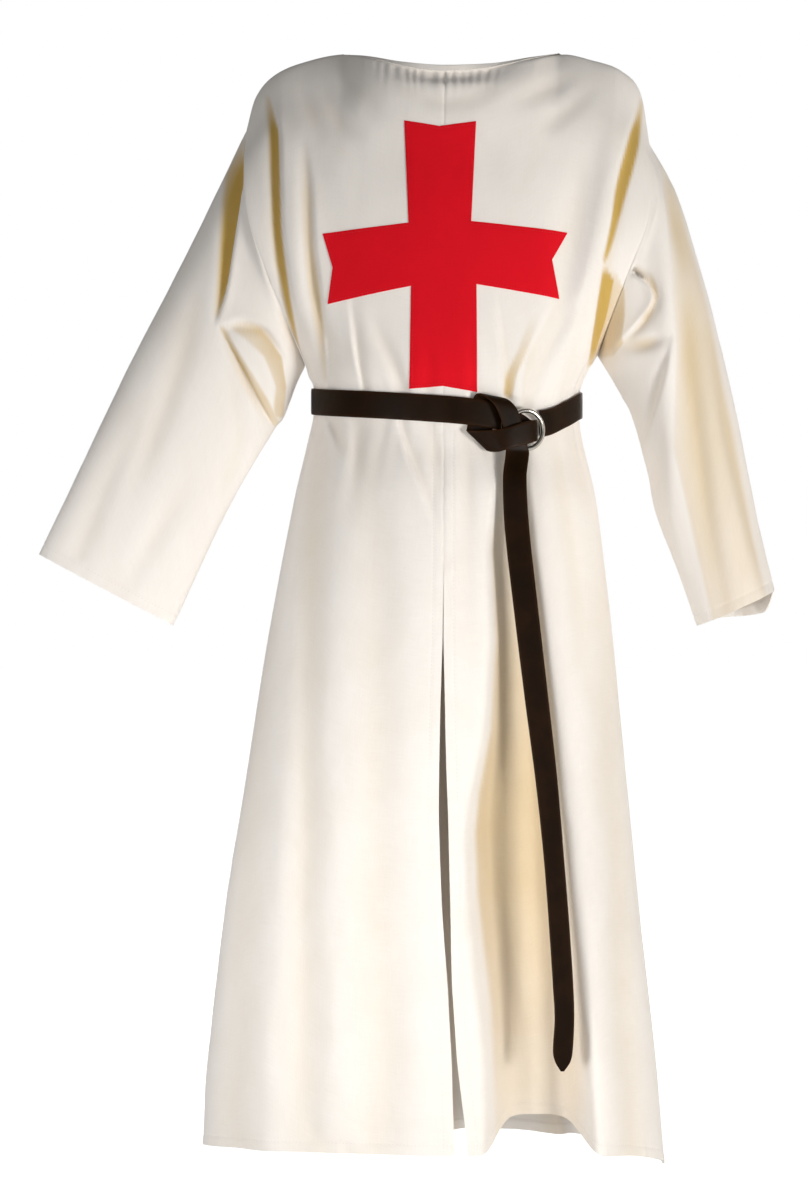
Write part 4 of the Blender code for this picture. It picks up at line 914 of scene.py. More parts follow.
def strap_leather(name, face, worn):
    """Strap leather, cowhide dyed right through and rolled smooth, with a dressed finish: a
    soft gloss over fine pores and short creases. Its cut edges and bends are rubbed a little
    lighter. The pores are 0.4 mm on real hide, and are drawn at 1.2 mm to show."""
    tree, shader, material = start_material(name, 0.4, IOR=1.45, Specular_IOR_Level=0.12)
    place = add_node(tree, "TexCoord", "Object", {})
    pores = add_node(tree, "TexVoronoi", "Distance", {"Vector": place, "Scale": 830.0},
                     feature="DISTANCE_TO_EDGE")
    creases = add_node(tree, "TexNoise", "Fac", {"Vector": place, "Scale": 140.0, "Detail": 5.0,
                                                 "Distortion": 0.6})
    cloud = add_node(tree, "TexNoise", "Fac", {"Vector": place, "Scale": 34.0, "Detail": 3.0})
    edge = add_node(tree, "Attribute", "Fac", {}, attribute_name="edge")
    rubbed = add_node(tree, "Math", 0, {0: edge, 1: 0.55}, operation="MULTIPLY")
    rubbed = add_node(tree, "Math", 0, {0: cloud, 1: 0.5, 2: rubbed}, operation="MULTIPLY_ADD")
    rubbed = add_node(tree, "Math", 0, {0: rubbed, 1: 0.12}, operation="SUBTRACT")
    tint = add_node(tree, "Mix", 2, {"Factor": rubbed, 6: face, 7: worn}, data_type="RGBA")
    gloss = add_node(tree, "MapRange", 0, {"Value": creases, "To Min": 0.34, "To Max": 0.54})
    height = add_node(tree, "Math", 0, {0: pores, 1: 0.8, 2: creases}, operation="MULTIPLY_ADD")
    bump = add_node(tree, "Bump", 0, {"Height": height, "Strength": 0.22, "Distance": 0.0005})
    connect(tree, shader, {"Base Color": tint, "Roughness": gloss, "Normal": bump})
    return material


def plated_steel(name, face, dulled):
    """Nickel-plated steel wire, bent, welded and barrel polished: a bright mirror with a very
    slight waviness and faint handling scratches that blur it here and there."""
    tree, shader, material = start_material(name, 0.12, Metallic=1.0)
    place = add_node(tree, "TexCoord", "Object", {})
    smear = add_node(tree, "TexNoise", "Fac", {"Vector": place, "Scale": 90.0, "Detail": 4.0})
    scratch = add_node(tree, "TexNoise", "Fac", {"Vector": place, "Scale": 600.0,
                                                 "Distortion": 2.0})
    gloss = add_node(tree, "MapRange", 0, {"Value": smear, "To Min": 0.07, "To Max": 0.22})
    tint = add_node(tree, "Mix", 2, {"Factor": smear, 6: face, 7: dulled}, data_type="RGBA")
    bump = add_node(tree, "Bump", 0, {"Height": scratch, "Strength": 0.04, "Distance": 0.0002})
    connect(tree, shader, {"Base Color": tint, "Roughness": gloss, "Normal": bump})
    return material


def sewing_thread(name, face):
    """Cotton sewing thread, two strands twisted: dull, with the twist as fine slanting bands,
    0.4 mm apart."""
    tree, shader, material = start_material(name, 0.75, Sheen_Weight=0.1)
    place = add_node(tree, "TexCoord", "Object", {})
    twist = add_node(tree, "TexWave", "Fac", {
        "Vector": place, "Scale": WAVE_SCALE / TWIST_SPACING, "Distortion": 1.0},
        bands_direction="DIAGONAL")
    dark = tuple(0.6 * channel for channel in face[:3]) + (1.0,)
    tint = add_node(tree, "Mix", 2, {"Factor": twist, 6: dark, 7: face}, data_type="RGBA")
    connect(tree, shader, {"Base Color": tint})
    return material


def white_to_camera(tree, glow):
    """Strength of light: 1 towards the camera and glow towards everything else."""
    seen = add_node(tree, "LightPath", "Is Camera Ray", {})
    return add_node(tree, "Math", 0, {0: seen, 1: 1.0 - glow, 2: glow},
                    operation="MULTIPLY_ADD")


def studio_paper(name, face, fibre):
    """Matt white background paper with faint fibres, so evenly lit that to the camera it is
    pure white and shows no shadow. It gives off less light towards the surcoat."""
    tree, shader, material = start_material(name, 0.9, Emission_Color=(1, 1, 1, 1),
                                            Specular_IOR_Level=0.0)
    place = add_node(tree, "TexCoord", "Object", {})
    fibres = add_node(tree, "TexNoise", "Fac", {"Vector": place, "Scale": 30.0, "Detail": 3.0})
    tint = add_node(tree, "Mix", 2, {"Factor": fibres, 6: face, 7: fibre}, data_type="RGBA")
    glow = white_to_camera(tree, PAPER_GLOW)
    connect(tree, shader, {"Base Color": tint, "Emission Strength": glow})
    return material


# Each material: the function that makes it, its colours, and its sheen where it has one
FINISHES = {
    "cream_cotton": (woven, ("cotton", "cotton_hollow"), 0.18),
    "cream_binding": (woven, ("cotton", "cotton_hollow"), 0.12),
    "red_cotton": (woven, ("red", "red_hollow"), 0.02),
    "brown_leather": (strap_leather, ("leather", "leather_worn")),
    "nickel_ring": (plated_steel, ("nickel", "nickel_dulled")),
    "cream_thread": (sewing_thread, ("cotton",)),
    "red_thread": (sewing_thread, ("red",)),
    "background_paper": (studio_paper, ("paper", "paper_fibre")),
}
MATERIALS = {}
SEWN = {}              # name of each line of stitches: its points and the cloth's normals


def material_for(context, name):
    """The named material, made from the scene's colours when it is first asked for."""
    if name not in MATERIALS:
        make, colours, *sheen = FINISHES[name]
        chosen = [tuple(getattr(context.scene.surcoat_colours, item)) for item in colours]
        MATERIALS[name] = make(name, *chosen, *sheen)
    return MATERIALS[name]


def length_setting(name, description, default):
    """A length in metres that a user can change."""
    return bpy.props.FloatProperty(name=name, description=description, default=default,
                                   unit="LENGTH")


def colour_setting(name, description, colour_hex):
    """A colour that a user can change."""
    return bpy.props.FloatVectorProperty(name=name, description=description, size=4,
                                         subtype="COLOR", default=linear(colour_hex))


class SurcoatSizes(bpy.types.PropertyGroup):
    """Sizes of the cloth, the sewing and the leather."""
    cloth: length_setting("Cloth", "Thickness of one layer of cotton", 0.001)
    turned: length_setting("Turned edge", "Thickness that a turned hem adds", 0.0007)
    hem: length_setting("Hem", "Width turned up at hem, cuffs and slit", 0.012)
    binding: length_setting("Binding", "Height of the neck binding", 0.0065)
    stitch: length_setting("Stitch", "Length of one stitch", 0.0034)
    thread: length_setting("Thread", "Thickness of the sewing thread", 0.0006)
    strap: length_setting("Strap", "Width of the leather strap", 0.032)
    leather: length_setting("Leather", "Thickness of the leather", 0.0026)


class SurcoatColours(bpy.types.PropertyGroup):
    """Colours of the materials."""
    cotton: colour_setting("Cotton", "Cream cotton", "#faf4ed")
    # The cotton's colour in folds is painted shade, mixed in where the folds are deep
    cotton_hollow: colour_setting("Cotton in folds", "Cream cotton inside its folds", "#d0ad5c")
    red: colour_setting("Cross", "Red cotton", "#e4061d")
    # The cross's colour in folds is painted shade as well
    red_hollow: colour_setting("Cross in folds", "Red cotton inside its folds", "#b00414")
    leather: colour_setting("Leather", "Dark brown strap leather", "#130800")
    leather_worn: colour_setting("Leather, rubbed", "Leather where it is rubbed", "#3c2108")
    nickel: colour_setting("Nickel", "Nickel plating", "#dedbd4")
    nickel_dulled: colour_setting("Nickel, dulled", "Nickel plating where it is smeared", "#b9b4aa")
    paper: colour_setting("Paper", "Background paper", "#c8c8c8")
    paper_fibre: colour_setting("Paper fibres", "Fibres in the background paper", "#d0d0d0")


def turned_edge(points, outward, away, run, sizes, puckers):
    """Finish an edge that is turned up and stitched. The stitches sink a groove at the
    turned width, and the cloth puckers beside it; the turned part is thicker. away is the
    distance from the edge and run the distance along it. Returns points and thickness."""
    width = sizes.hem / MM
    groove = 0.55 * np.exp(-((away - width) / 1.5) ** 2)
    pull = soft_noise(run, 0 * run, 6.5, 1, 61) + 0.6 * soft_noise(run, away, 15, 18, 62)
    pucker = puckers * pull * np.exp(-(np.maximum(away - 2, 0) / 16) ** 2)
    thickness = sizes.turned / MM * ease((width + 1.5 - away) / 2)
    return points + outward * (pucker - groove)[..., None], thickness


def crossing(points, outward, away, value):
    """Points and normals where each column's distance from the edge falls to a value."""
    row = np.argmax(away <= value, axis=0)
    row = np.clip(row, 1, len(away) - 1)
    column = np.arange(away.shape[1])
    high, low = away[row - 1, column], away[row, column]
    t = ((high - value) / np.maximum(high - low, 1e-6))[:, None]
    return tuple(grid[row - 1, column] * (1 - t) + grid[row, column] * t
                 for grid in (points, outward))


def body_rows(side, shares):
    """Stations of a panel's rows: close together at the top, as the armhole's are round the
    sleeve, and again where the hem is stitched. Under the neckline the first row starts
    inside the binding."""
    drop = UNDERARM * (1 - np.cos(np.linspace(0, 1, 86) * math.pi)) / 2
    lower = UNDERARM + (1 - UNDERARM) * np.linspace(0, 1, 196)[1:-5]
    station = np.concatenate([drop, lower, 1 - HEM_ROWS / SKIRT_RUN])
    share, station = np.meshgrid(shares, station)
    height = np.linalg.norm(form(side, shares, 0.02) - form(side, shares, 0.0), axis=-1)
    start = under_neck(shares) * 0.02 * 3.5 / height
    upper = station < UNDERARM
    return share, np.where(upper, start + station * (UNDERARM - start) / UNDERARM, station)


def seam_groove(points, outward, away):
    """Draw the cloth in beside a sewn seam, more the nearer it is."""
    return points - outward * (SEAM_DEPTH * ease(1 - away / SEAM_REACH))[..., None]


def hung_sheet(context, node, points, outward, thick, depth, tube=False):
    """Add a panel or sleeve, one layer of cotton and what its turned edges add thick."""
    layer = context.scene.surcoat_sizes.cloth / MM
    mesh = cloth_wall(node, points, outward, layer + thick, depth, tube)
    return add_sheet(context, "cotton_" + node, mesh, "cream_cotton", node)


class SURCOAT_OT_fronts(bpy.types.Operator):
    """Make the two fronts, sewn down the centre and open below in a slit"""
    bl_idname = "surcoat.fronts"
    bl_label = "Fronts"

    def execute(self, context):
        sizes = context.scene.surcoat_sizes
        near = np.array((0, 0.003, 0.008, 0.016, 0.024, 0.032, 0.037, 0.041, 0.045, 0.049,
                         0.053, 0.058, 0.064, 0.072))
        shares = np.concatenate([near, np.linspace(0.08, 0.985, 96), (0.992, 0.996, 1.0)])
        for name, side in (("front_panel_left", LEFT), ("front_panel_right", RIGHT)):
            share, station = body_rows(FRONT, shares if side == LEFT else -shares[::-1])
            points, depth = body(FRONT, share, station, side, with_painted_shade=True)
            outward = grid_normals(points, FRONT)
            flat = measured(points) / MM
            from_centre = np.abs(flat[..., 0] - flat[:, [0 if side == LEFT else -1], 0])
            from_hem = flat[-1:, :, 1] - flat[..., 1]
            from_side = np.abs(flat[..., 0] - flat[:, [-1 if side == LEFT else 0], 0])
            points = seam_groove(points, outward, from_side)
            shut = ease((points[..., 2] - SLIT_START + 20) / 30)
            points = points - outward * (0.8 * shut * ease(1 - from_centre / 2.4))[..., None]
            points, thick = turned_edge(points, outward, from_hem, flat[..., 0], sizes,
                                        PUCKER_HEM)
            low = ease((-380 - points[..., 2]) / 60)
            opened, slit_thick = turned_edge(points, outward, from_centre, flat[..., 1] + side * 40,
                                             sizes, PUCKER_SLIT)
            points = points + (opened - points) * low[..., None]
            thick = np.maximum(thick, slit_thick * low)
            hung_sheet(context, name, points, outward, thick, depth)
            SEWN["hem " + name] = crossing(points, outward, from_hem, sizes.hem / MM)
            turned = [grid.transpose(1, 0, 2)[:: -side] for grid in (points, outward)]
            path = crossing(*turned, from_centre.T[:: -side], sizes.hem / MM)
            below = path[0][:, 2] < -450
            SEWN["slit " + name] = tuple(line[below] for line in path)
        return {"FINISHED"}


class SURCOAT_OT_back(bpy.types.Operator):
    """Make the back, cut in one piece"""
    bl_idname = "surcoat.back"
    bl_label = "Back"

    def execute(self, context):
        sizes = context.scene.surcoat_sizes
        edge = np.array((-1.0, -0.996, -0.992))
        shares = np.concatenate([edge, np.linspace(-0.985, 0.985, 156), -edge[::-1]])
        share, station = body_rows(BACK, shares)
        points, depth = body(BACK, share, station, with_painted_shade=True)
        outward = grid_normals(points, BACK)
        flat = measured(points) / MM
        from_side = np.minimum(flat[..., 0] - flat[:, [0], 0], flat[:, [-1], 0] - flat[..., 0])
        from_hem = flat[-1:, :, 1] - flat[..., 1]
        points = seam_groove(points, outward, from_side)
        points, thick = turned_edge(points, outward, from_hem, flat[..., 0], sizes,
                                    PUCKER_HEM)
        hung_sheet(context, "back_panel", points, outward, thick, depth)
        SEWN["hem back"] = crossing(points, outward, from_hem, sizes.hem / MM)
        return {"FINISHED"}


class SURCOAT_OT_sleeves(bpy.types.Operator):
    """Make the two sleeves, each a tube from its armhole to its open cuff"""
    bl_idname = "surcoat.sleeves"
    bl_label = "Sleeves"

    def execute(self, context):
        sizes = context.scene.surcoat_sizes
        turns = np.linspace(-0.5, 0.5, 171)
        start = np.array((0, 0.003, 0.007, 0.013))
        stations = np.concatenate([start, np.linspace(0.02, 0.952, 150),
                                   1 - HEM_ROWS / SLEEVE_RUN])
        for name, side in (("sleeve_left", LEFT), ("sleeve_right", RIGHT)):
            turn, station = np.meshgrid(turns, stations)
            points, depth = sleeve(side, turn, station, with_painted_shade=True)
            outward = grid_normals(points, side, tube=True)
            flat = measured(points) / MM
            from_cuff = flat[-1:, :, 1] - flat[..., 1]
            points = seam_groove(points, outward, flat[..., 1])
            points, thick = turned_edge(points, outward, from_cuff, flat[..., 0], sizes,
                                        PUCKER_CUFF)
            hung_sheet(context, name, points, outward, thick, depth, tube=True)
            SEWN["cuff " + name] = crossing(points, outward, from_cuff, sizes.hem / MM)
        return {"FINISHED"}


class SURCOAT_OT_binding(bpy.types.Operator):
    """Make the narrow binding folded over the neckline"""
    bl_idname = "surcoat.binding"
    bl_label = "Neck binding"

    def execute(self, context):
        height = context.scene.surcoat_sizes.binding / MM
        share = NECK_SHARE * np.linspace(-1, 1, 121)
        rims, outs, downs = [], [], []
        for side, shares in ((FRONT, share[:-1]), (BACK, share[:0:-1])):
            station = np.full_like(shares, 0.006)
            rims.append(form(side, shares, 0 * shares))
            downs.append(form(side, shares, station) - rims[-1])
            outs.append(normals(lambda a, b: form(side, a, b), shares, station, side))
        rim, out, down = (np.concatenate(part) for part in (rims, outs, downs))
        for _ in range(4):
            out, down = ((np.roll(part, 1, 0) + 2 * part + np.roll(part, -1, 0)) / 4
                         for part in (unit(out), unit(down)))
        out, down = unit(out), unit(down)
        down = unit(down - out * np.sum(out * down, -1, keepdims=True))
        run = run_length(rim)
        lap, top = np.linspace(0, 1, 8), np.linspace(0, math.pi, 9)[1:-1]
        face, fall = [], []
        for half in (1.3, 0.6):
            face.append(np.concatenate([half + 0 * lap, half * np.cos(top), -half + 0 * lap]))
            fall.append(np.concatenate([height * (1 - lap), -half * np.sin(top), height * lap]))
        face = np.concatenate([face[0], face[1][::-1]]) - 0.4
        fall = np.concatenate([fall[0], fall[1][::-1]])
        ripple = 0.3 * soft_noise(run, 0 * run, 5.5, 1, 71)[:, None] * (fall > 0)
        points = (rim[:, None] + out[:, None] * (face + ripple)[..., None]
                  + down[:, None] * fall[None, :, None])
        places = points.transpose(1, 0, 2)
        places = np.concatenate([places, places[:1]], 0)
        places = np.concatenate([places, places[:, :1]], 1)
        add_sheet(context, "folded_binding", closed_loop("neck_binding", places),
                  "cream_binding", "neck_binding")
        SEWN["binding"] = points[:, 1] + out * 0.1, out
        return {"FINISHED"}


def closed_loop(name, places):
    """Ring-shaped tube from a grid whose last row and column repeat its first ones."""
    rows, columns = places.shape[0] - 1, places.shape[1] - 1
    r, c = np.meshgrid(np.arange(rows), np.arange(columns), indexing="ij")
    corners = np.stack([np.stack([r, c], -1), np.stack([r + 1, c], -1),
                        np.stack([r + 1, c + 1], -1), np.stack([r, c + 1], -1)], 2)
    corners = corners.reshape(-1, 4, 2)
    vertex = corners[..., 0] % rows * columns + corners[..., 1] % columns
    middle = places[:-1, :1].mean(axis=0)[0]
    turned = np.cross(places[1, 0] - places[0, 0], places[0, 1] - places[0, 0])
    if np.sum(turned * (places[0, 0] - middle)) < 0:
        corners, vertex = corners[:, ::-1], vertex[:, ::-1]
    return new_mesh(name, places[:-1, :-1], vertex.tolist(),
                    measured(places)[corners[..., 0], corners[..., 1]])


def cross_blocks(cell):
    """The cross laid out flat, in (x, z): its middle and four arms that widen to notched
    ends, each a grid of about the given cell between its two ends."""
    corners = np.array(CROSS_MIDDLE, float)
    across = np.linspace(-1, 1, 2 * round(40 / cell) + 1)
    a, b = np.meshgrid((across + 1) / 2, (across + 1) / 2)
    a, b = a[..., None], b[..., None]
    blocks = [(1 - a) * (1 - b) * corners[0] + a * (1 - b) * corners[1]
              + a * b * corners[2] + (1 - a) * b * corners[3]]
    for arm, end in enumerate(np.array(CROSS_ENDS, float)):
        near = corners[arm], corners[(arm + 1) % 4]
        q, p = np.meshgrid(across, np.linspace(0, 1, round(120 / cell)))
        q, p = q[..., None], p[..., None]
        inner = (1 - q) / 2 * near[0] + (1 + q) / 2 * near[1]
        outer = (np.maximum(-q, 0) * end[0] + np.maximum(q, 0) * end[2]
                 + (1 - np.abs(q)) * end[1])
        blocks.append(inner + (outer - inner) * p)
    return blocks


def cross_outline(inset):
    """Outline of the cross, moved in by inset along each corner's two edge normals."""
    outline = np.array([spot for corner, end in zip(CROSS_MIDDLE, CROSS_ENDS)
                        for spot in (corner, *end)], float)
    ahead = unit(np.roll(outline, -1, 0) - outline)
    side = np.stack([ahead[:, 1], -ahead[:, 0]], -1)
    before = np.roll(side, 1, 0)
    share = inset / np.maximum(1 + np.sum(side * before, -1, keepdims=True), 0.3)
    return outline + (side + before) * share


class SURCOAT_OT_cross(bpy.types.Operator):
    """Make the cross, cut in one piece and sewn flat on the fronts"""
    bl_idname = "surcoat.cross"
    bl_label = "Cross"

    def execute(self, context):
        start, faces, flats = 0, [], []
        for block in cross_blocks(CROSS_CELL):
            rows, columns = block.shape[:2]
            r, c = np.meshgrid(np.arange(rows - 1), np.arange(columns - 1), indexing="ij")
            corner = start + r * columns + c
            faces.append(np.stack([corner, corner + 1, corner + columns + 1, corner + columns],
                                  -1).reshape(-1, 4))
            flats.append(block.reshape(-1, 2))
            start += rows * columns
        flats, faces = np.concatenate(flats), np.concatenate(faces)
        gap = edge_distance(flats, cross_outline(0))
        sunk = CROSS_SUNK * np.exp(-((gap - CROSS_SEAM) / 1.3) ** 2)
        places, _ = on_front(flats[:, 0], flats[:, 1], CROSS_LIFT - sunk)
        mesh = new_mesh("cross_applique", places, faces.tolist(), flats[faces] * MM)
        shape = bmesh.new()
        shape.from_mesh(mesh)
        bmesh.ops.remove_doubles(shape, verts=shape.verts, dist=0.00005)
        bmesh.ops.recalc_face_normals(shape, faces=shape.faces)
        if sum(face.normal.y for face in list(shape.faces)[:200]) > 0:
            bmesh.ops.reverse_faces(shape, faces=shape.faces)
        shape.to_mesh(mesh)
        shape.free()
        mesh.shade_smooth()
        piece = add_sheet(context, "red_cross", mesh, "red_cotton", "cross_applique")
        wall = piece.modifiers.new("wall", "SOLIDIFY")
        wall.thickness = 0.9 * MM
        wall.offset = -1.0
        soft = piece.modifiers.new("turned edge", "BEVEL")
        soft.width = 0.35 * MM
        soft.segments = 2
        soft.limit_method = "ANGLE"
        seam = cross_outline(CROSS_SEAM)
        loop = np.concatenate([seam, seam[:1]])
        run = run_length(loop)
        at = np.arange(0, run[-1], 1.5)
        x, z = (np.interp(at, run, loop[:, k]) for k in (0, 1))
        SEWN["cross"] = on_front(x, z, 0.95 + 0 * x)
        return {"FINISHED"}


def edge_distance(spots, outline):
    """Distance of each spot from the nearest edge of a closed outline."""
    start, step = outline, np.roll(outline, -1, 0) - outline
    off = spots[:, None] - start
    share = np.clip(np.sum(off * step, -1) / np.sum(step**2, -1), 0, 1)
    return np.min(np.linalg.norm(off - share[..., None] * step, axis=-1), axis=1)


def strap(name, upper, lower, thickness):
    """Leather strap between two edge curves: a rounded rectangle carried along them, half
    the width times sign(cos)|cos|^0.22 across and half the thickness times
    sign(sin)|sin|^0.6 out. Its ends are closed. An attribute marks its edges."""
    along = np.gradient((upper + lower) / 2, axis=0)
    middle, half = (upper + lower) / 2, (upper - lower) / 2
    face = unit(np.cross(along, half)) * thickness / 2
    angle = np.linspace(0, 2 * math.pi, 29)[:-1]
    across = np.sign(np.cos(angle)) * np.abs(np.cos(angle)) ** 0.22
    out = np.sign(np.sin(angle)) * np.abs(np.sin(angle)) ** 0.6
    rings = (middle[:, None] + half[:, None] * across[None, :, None]
             + face[:, None] * out[None, :, None])
    stations, sides = rings.shape[:2]
    s, k = np.meshgrid(np.arange(stations - 1), np.arange(sides), indexing="ij")
    beside = (k + 1) % sides
    walls = np.stack([s * sides + k, s * sides + beside, (s + 1) * sides + beside,
                      (s + 1) * sides + k], -1).reshape(-1, 4)
    first = np.arange(sides)[::-1]
    last = (stations - 1) * sides + np.arange(sides)
    turned = np.cross(rings[0, 1] - rings[0, 0], rings[1, 0] - rings[0, 0])
    if np.sum(turned * (rings[0, 0] - middle[0])) < 0:
        walls, first, last = walls[:, ::-1], first[::-1], last[::-1]
    mesh = new_mesh(name, rings, [*walls.tolist(), first.tolist(), last.tolist()],
                    edge=np.tile(np.abs(across) ** 8, stations))
    mesh.set_sharp_from_angle(angle=math.radians(60))
    return mesh


def evenly(rows, spacing):
    """Smooth curves through two edges, whose places are rows of six numbers, at an even
    spacing along the line midway between them."""
    stations = run_length((rows[:, :3] + rows[:, 3:6]) / 2)
    at = np.linspace(0, stations[-1], round(stations[-1] / spacing))
    return np.stack([hermite(stations, column, at) for column in rows.T], -1)


class SURCOAT_OT_belt(bpy.types.Operator):
    """Make the leather strap, its knot with the hanging tail, and the ring"""
    bl_idname = "surcoat.belt"
    bl_label = "Ring belt"

    def execute(self, context):
        sizes = context.scene.surcoat_sizes
        turn = np.linspace(STRAP_START, STRAP_END, 320)
        height = hermite(STRAP_HEIGHT[:, 0], STRAP_HEIGHT[:, 1], turn, steady=True)
        middle = hermite(BELT_LINE[:, 0], BELT_LINE[:, 1], np.where(turn > 0.75, turn - 1, turn))
        half = sizes.strap / MM / 2
        upper = waist(turn, height, middle + half)
        lower = waist(turn, height, middle - half)
        mesh = strap("belt_strap", upper, lower, sizes.leather / MM)
        add_piece(context, "waist_strap", mesh, "brown_leather", "belt_strap")

        fine = curve(KNOT, np.linspace(0, len(KNOT) - 1, 2 * len(KNOT)))
        knot = np.concatenate([beside_waist(fine[:, :3]), beside_waist(fine[:, 3:])], 1)
        tail = TAIL[:, (0, 2, 3, 1, 2, 3)].astype(float)
        edges = evenly(np.concatenate([knot, tail]), 2.2)
        mesh = strap("belt_tail", edges[:, :3], edges[:, 3:], sizes.leather / MM)
        add_piece(context, "knot_and_tail", mesh, "brown_leather", "belt_tail")

        centre = beside_waist(np.array(((RING_X, RING_HEIGHT, RING_Z),)))[0]
        off = unit(beside_waist(np.array(((RING_X, RING_HEIGHT + 1, RING_Z),)))[0] - centre)
        level = unit(np.cross((0, 0, 1), off))
        around, about = np.meshgrid(np.linspace(0, 2 * math.pi, 97),
                                    np.linspace(0, 2 * math.pi, 25), indexing="ij")
        spoke = (np.cos(around)[..., None] * level
                 + np.sin(around)[..., None] * np.cross(off, level))
        reach = (RING_RADIUS + RING_WIRE * np.cos(about))[..., None]
        places = centre + spoke * reach + off * (RING_WIRE * np.sin(about))[..., None]
        add_piece(context, "nickel_ring", closed_loop("belt_ring", places), "nickel_ring",
                  "belt_ring")
        return {"FINISHED"}


def stitch_mesh(name, lines, length, pitch, radius):
    """Stitches along lines of points: every pitch, a spindle of eight triangles from one
    point on the line to another, its middle ring a square of the thread's radius."""
    places = []
    for points, outward in lines:
        run = run_length(points)
        at = np.arange(pitch / 2, run[-1] - pitch / 2, pitch)
        ends = [np.stack([np.interp(at + shift, run, points[:, k]) for k in range(3)], -1)
                for shift in (-length / 2, 0, length / 2)]
        out = unit(np.stack([np.interp(at, run, outward[:, k]) for k in range(3)], -1))
        ahead = unit(ends[2] - ends[0])
        beside = np.cross(ahead, out)
        places.append(np.stack([ends[0] - out * 0.2, ends[1] + out * radius * 1.3,
                                ends[1] + beside * radius, ends[1] - out * radius,
                                ends[1] - beside * radius, ends[2] - out * 0.2], 1))
    places = np.concatenate(places)
    shape = np.array(((0, 2, 1), (0, 3, 2), (0, 4, 3), (0, 1, 4),
                      (5, 1, 2), (5, 2, 3), (5, 3, 4), (5, 4, 1)))
    faces = (np.arange(len(places)) * 6)[:, None, None] + shape
    return new_mesh(name, places, faces.reshape(-1, 3).tolist())


class SURCOAT_OT_stitches(bpy.types.Operator):
    """Sew the stitches along the hem, cuffs, slit and neck binding and round the cross"""
    bl_idname = "surcoat.stitches"
    bl_label = "Stitches"

    def execute(self, context):
        sizes = context.scene.surcoat_sizes
        length, radius = sizes.stitch / MM, sizes.thread / MM / 2
        lines = [line for name, line in SEWN.items() if name != "cross"]
        mesh = stitch_mesh("cream_stitches", lines, length, length * 1.35, radius)
        add_piece(context, "cream_stitches", mesh, "cream_cotton", finish="cream_thread")
        mesh = stitch_mesh("red_stitches", [SEWN["cross"]], length * 0.8, length, radius)
        add_piece(context, "red_stitches", mesh, "red_cotton", finish="red_thread")
        return {"FINISHED"}


def aimed(name, data, place, target):
    """Put a light at a place, turned towards a target."""
    holder = bpy.data.objects.new(name, data)
    bpy.context.scene.collection.objects.link(holder)
    ahead = unit(np.array(target, float) - np.array(place, float))
    flat = math.hypot(ahead[0], ahead[1])
    holder.location = place
    holder.rotation_euler = (math.atan2(flat, -ahead[2]), 0, math.atan2(-ahead[0], ahead[1]))


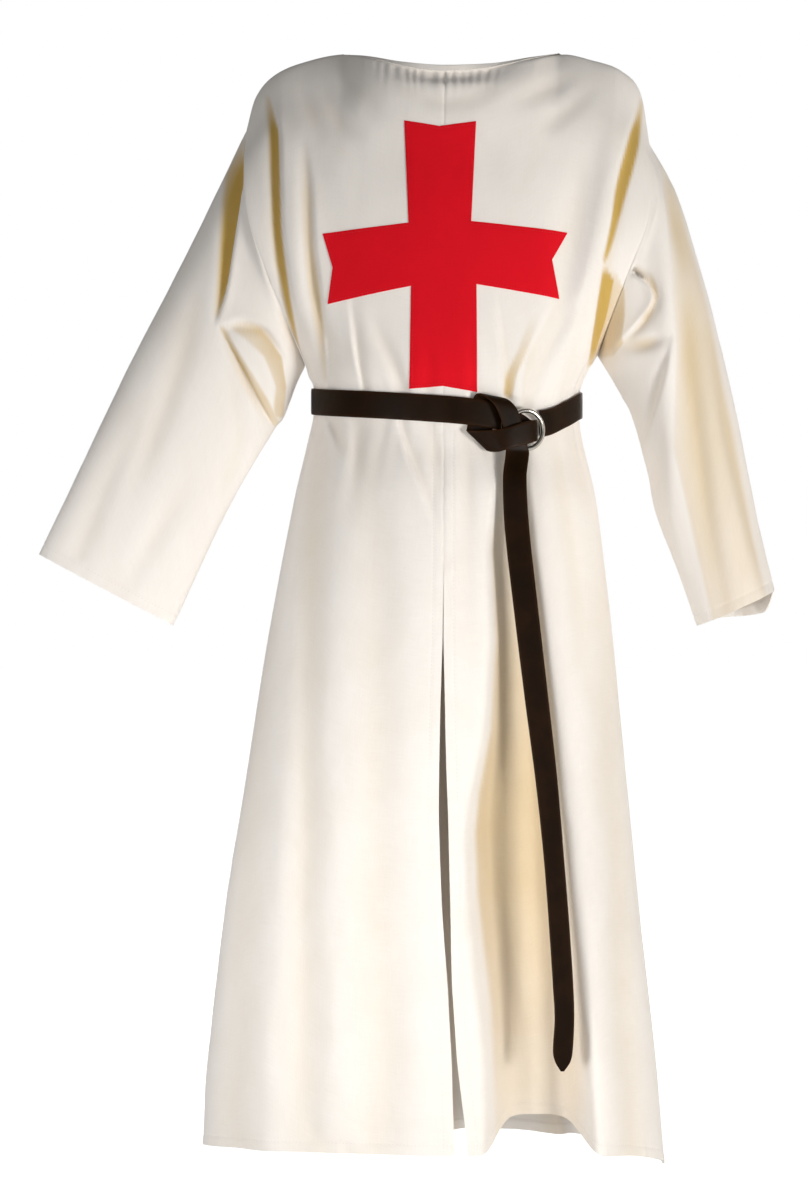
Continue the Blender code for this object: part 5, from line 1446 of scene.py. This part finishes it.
class SURCOAT_OT_stage(bpy.types.Operator):
    """Lay the pale floor and set the soft lights, the world and the camera"""
    bl_idname = "surcoat.stage"
    bl_label = "Stage"

    def execute(self, context):
        scene = context.scene
        around = np.linspace(0, 2 * math.pi, 97)[:-1]
        low = CAD_BOX[0].z - FLOOR_GAP
        disc = np.stack([FLOOR_REACH * np.cos(around), FLOOR_REACH * np.sin(around),
                         low + 0 * around], -1)
        mesh = bpy.data.meshes.new("floor")
        mesh.from_pydata(disc.tolist(), [], [list(range(len(around)))])
        mesh.materials.append(material_for(context, "background_paper"))
        floor = bpy.data.objects.new("floor", mesh)
        scene.collection.objects.link(floor)

        for name, place, target, size, spread, power, colour in LIGHTS:
            light = bpy.data.lights.new(name, "AREA")
            light.shape = "SQUARE"
            light.size = size
            light.spread = math.radians(spread)
            light.energy = power
            light.color = linear(colour)[:3]
            aimed(name, light, place, target)

        world = bpy.data.worlds.new("white studio")
        world.use_nodes = True
        tree = world.node_tree
        connect(tree, tree.nodes["Background"], {
            "Color": (1, 1, 1, 1), "Strength": white_to_camera(tree, WORLD_LIGHT)})
        scene.world = world
        scene.view_settings.view_transform = "Standard"

        camera = bpy.data.cameras.new("camera")
        camera.sensor_fit = "VERTICAL"
        camera.sensor_height = SENSOR_MM
        camera.lens = SENSOR_MM * -CAMERA_PLACE[1] / VIEW_HEIGHT
        holder = bpy.data.objects.new("camera", camera)
        scene.collection.objects.link(holder)
        holder.location = CAMERA_PLACE
        holder.rotation_euler = (math.pi / 2, 0, 0)
        scene.camera = holder
        return {"FINISHED"}


class SURCOAT_PT_pieces(bpy.types.Panel):
    """Lists the surcoat's pieces and their sizes"""
    bl_label = "Surcoat"
    bl_idname = "SURCOAT_PT_pieces"
    bl_space_type = "VIEW_3D"
    bl_region_type = "UI"
    bl_category = "Surcoat"

    def draw(self, context):
        for operator in OPERATORS:
            self.layout.operator(operator.bl_idname)
        for group in (context.scene.surcoat_sizes, context.scene.surcoat_colours):
            column = self.layout.column(align=True)
            for name in type(group).__annotations__:
                column.prop(group, name)


GROUPS = (SurcoatSizes, SurcoatColours)
OPERATORS = (SURCOAT_OT_fronts, SURCOAT_OT_back, SURCOAT_OT_sleeves, SURCOAT_OT_binding,
             SURCOAT_OT_cross, SURCOAT_OT_belt, SURCOAT_OT_stitches, SURCOAT_OT_stage)


def register():
    """Register the classes and put their settings on the scene."""
    for item in (*GROUPS, *OPERATORS, SURCOAT_PT_pieces):
        bpy.utils.register_class(item)
    bpy.types.Scene.surcoat_sizes = bpy.props.PointerProperty(type=SurcoatSizes)
    bpy.types.Scene.surcoat_colours = bpy.props.PointerProperty(type=SurcoatColours)


def unregister():
    """Take the settings and the classes away again."""
    del bpy.types.Scene.surcoat_colours
    del bpy.types.Scene.surcoat_sizes
    for item in reversed((*GROUPS, *OPERATORS, SURCOAT_PT_pieces)):
        bpy.utils.unregister_class(item)


def main():
    """Build every piece and the stage."""
    register()
    bpy.ops.surcoat.fronts()
    bpy.ops.surcoat.back()
    bpy.ops.surcoat.sleeves()
    bpy.ops.surcoat.binding()
    bpy.ops.surcoat.cross()
    bpy.ops.surcoat.belt()
    bpy.ops.surcoat.stitches()
    bpy.ops.surcoat.stage()
    bpy.context.view_layer.update()


if __name__ == "__main__":
    main()
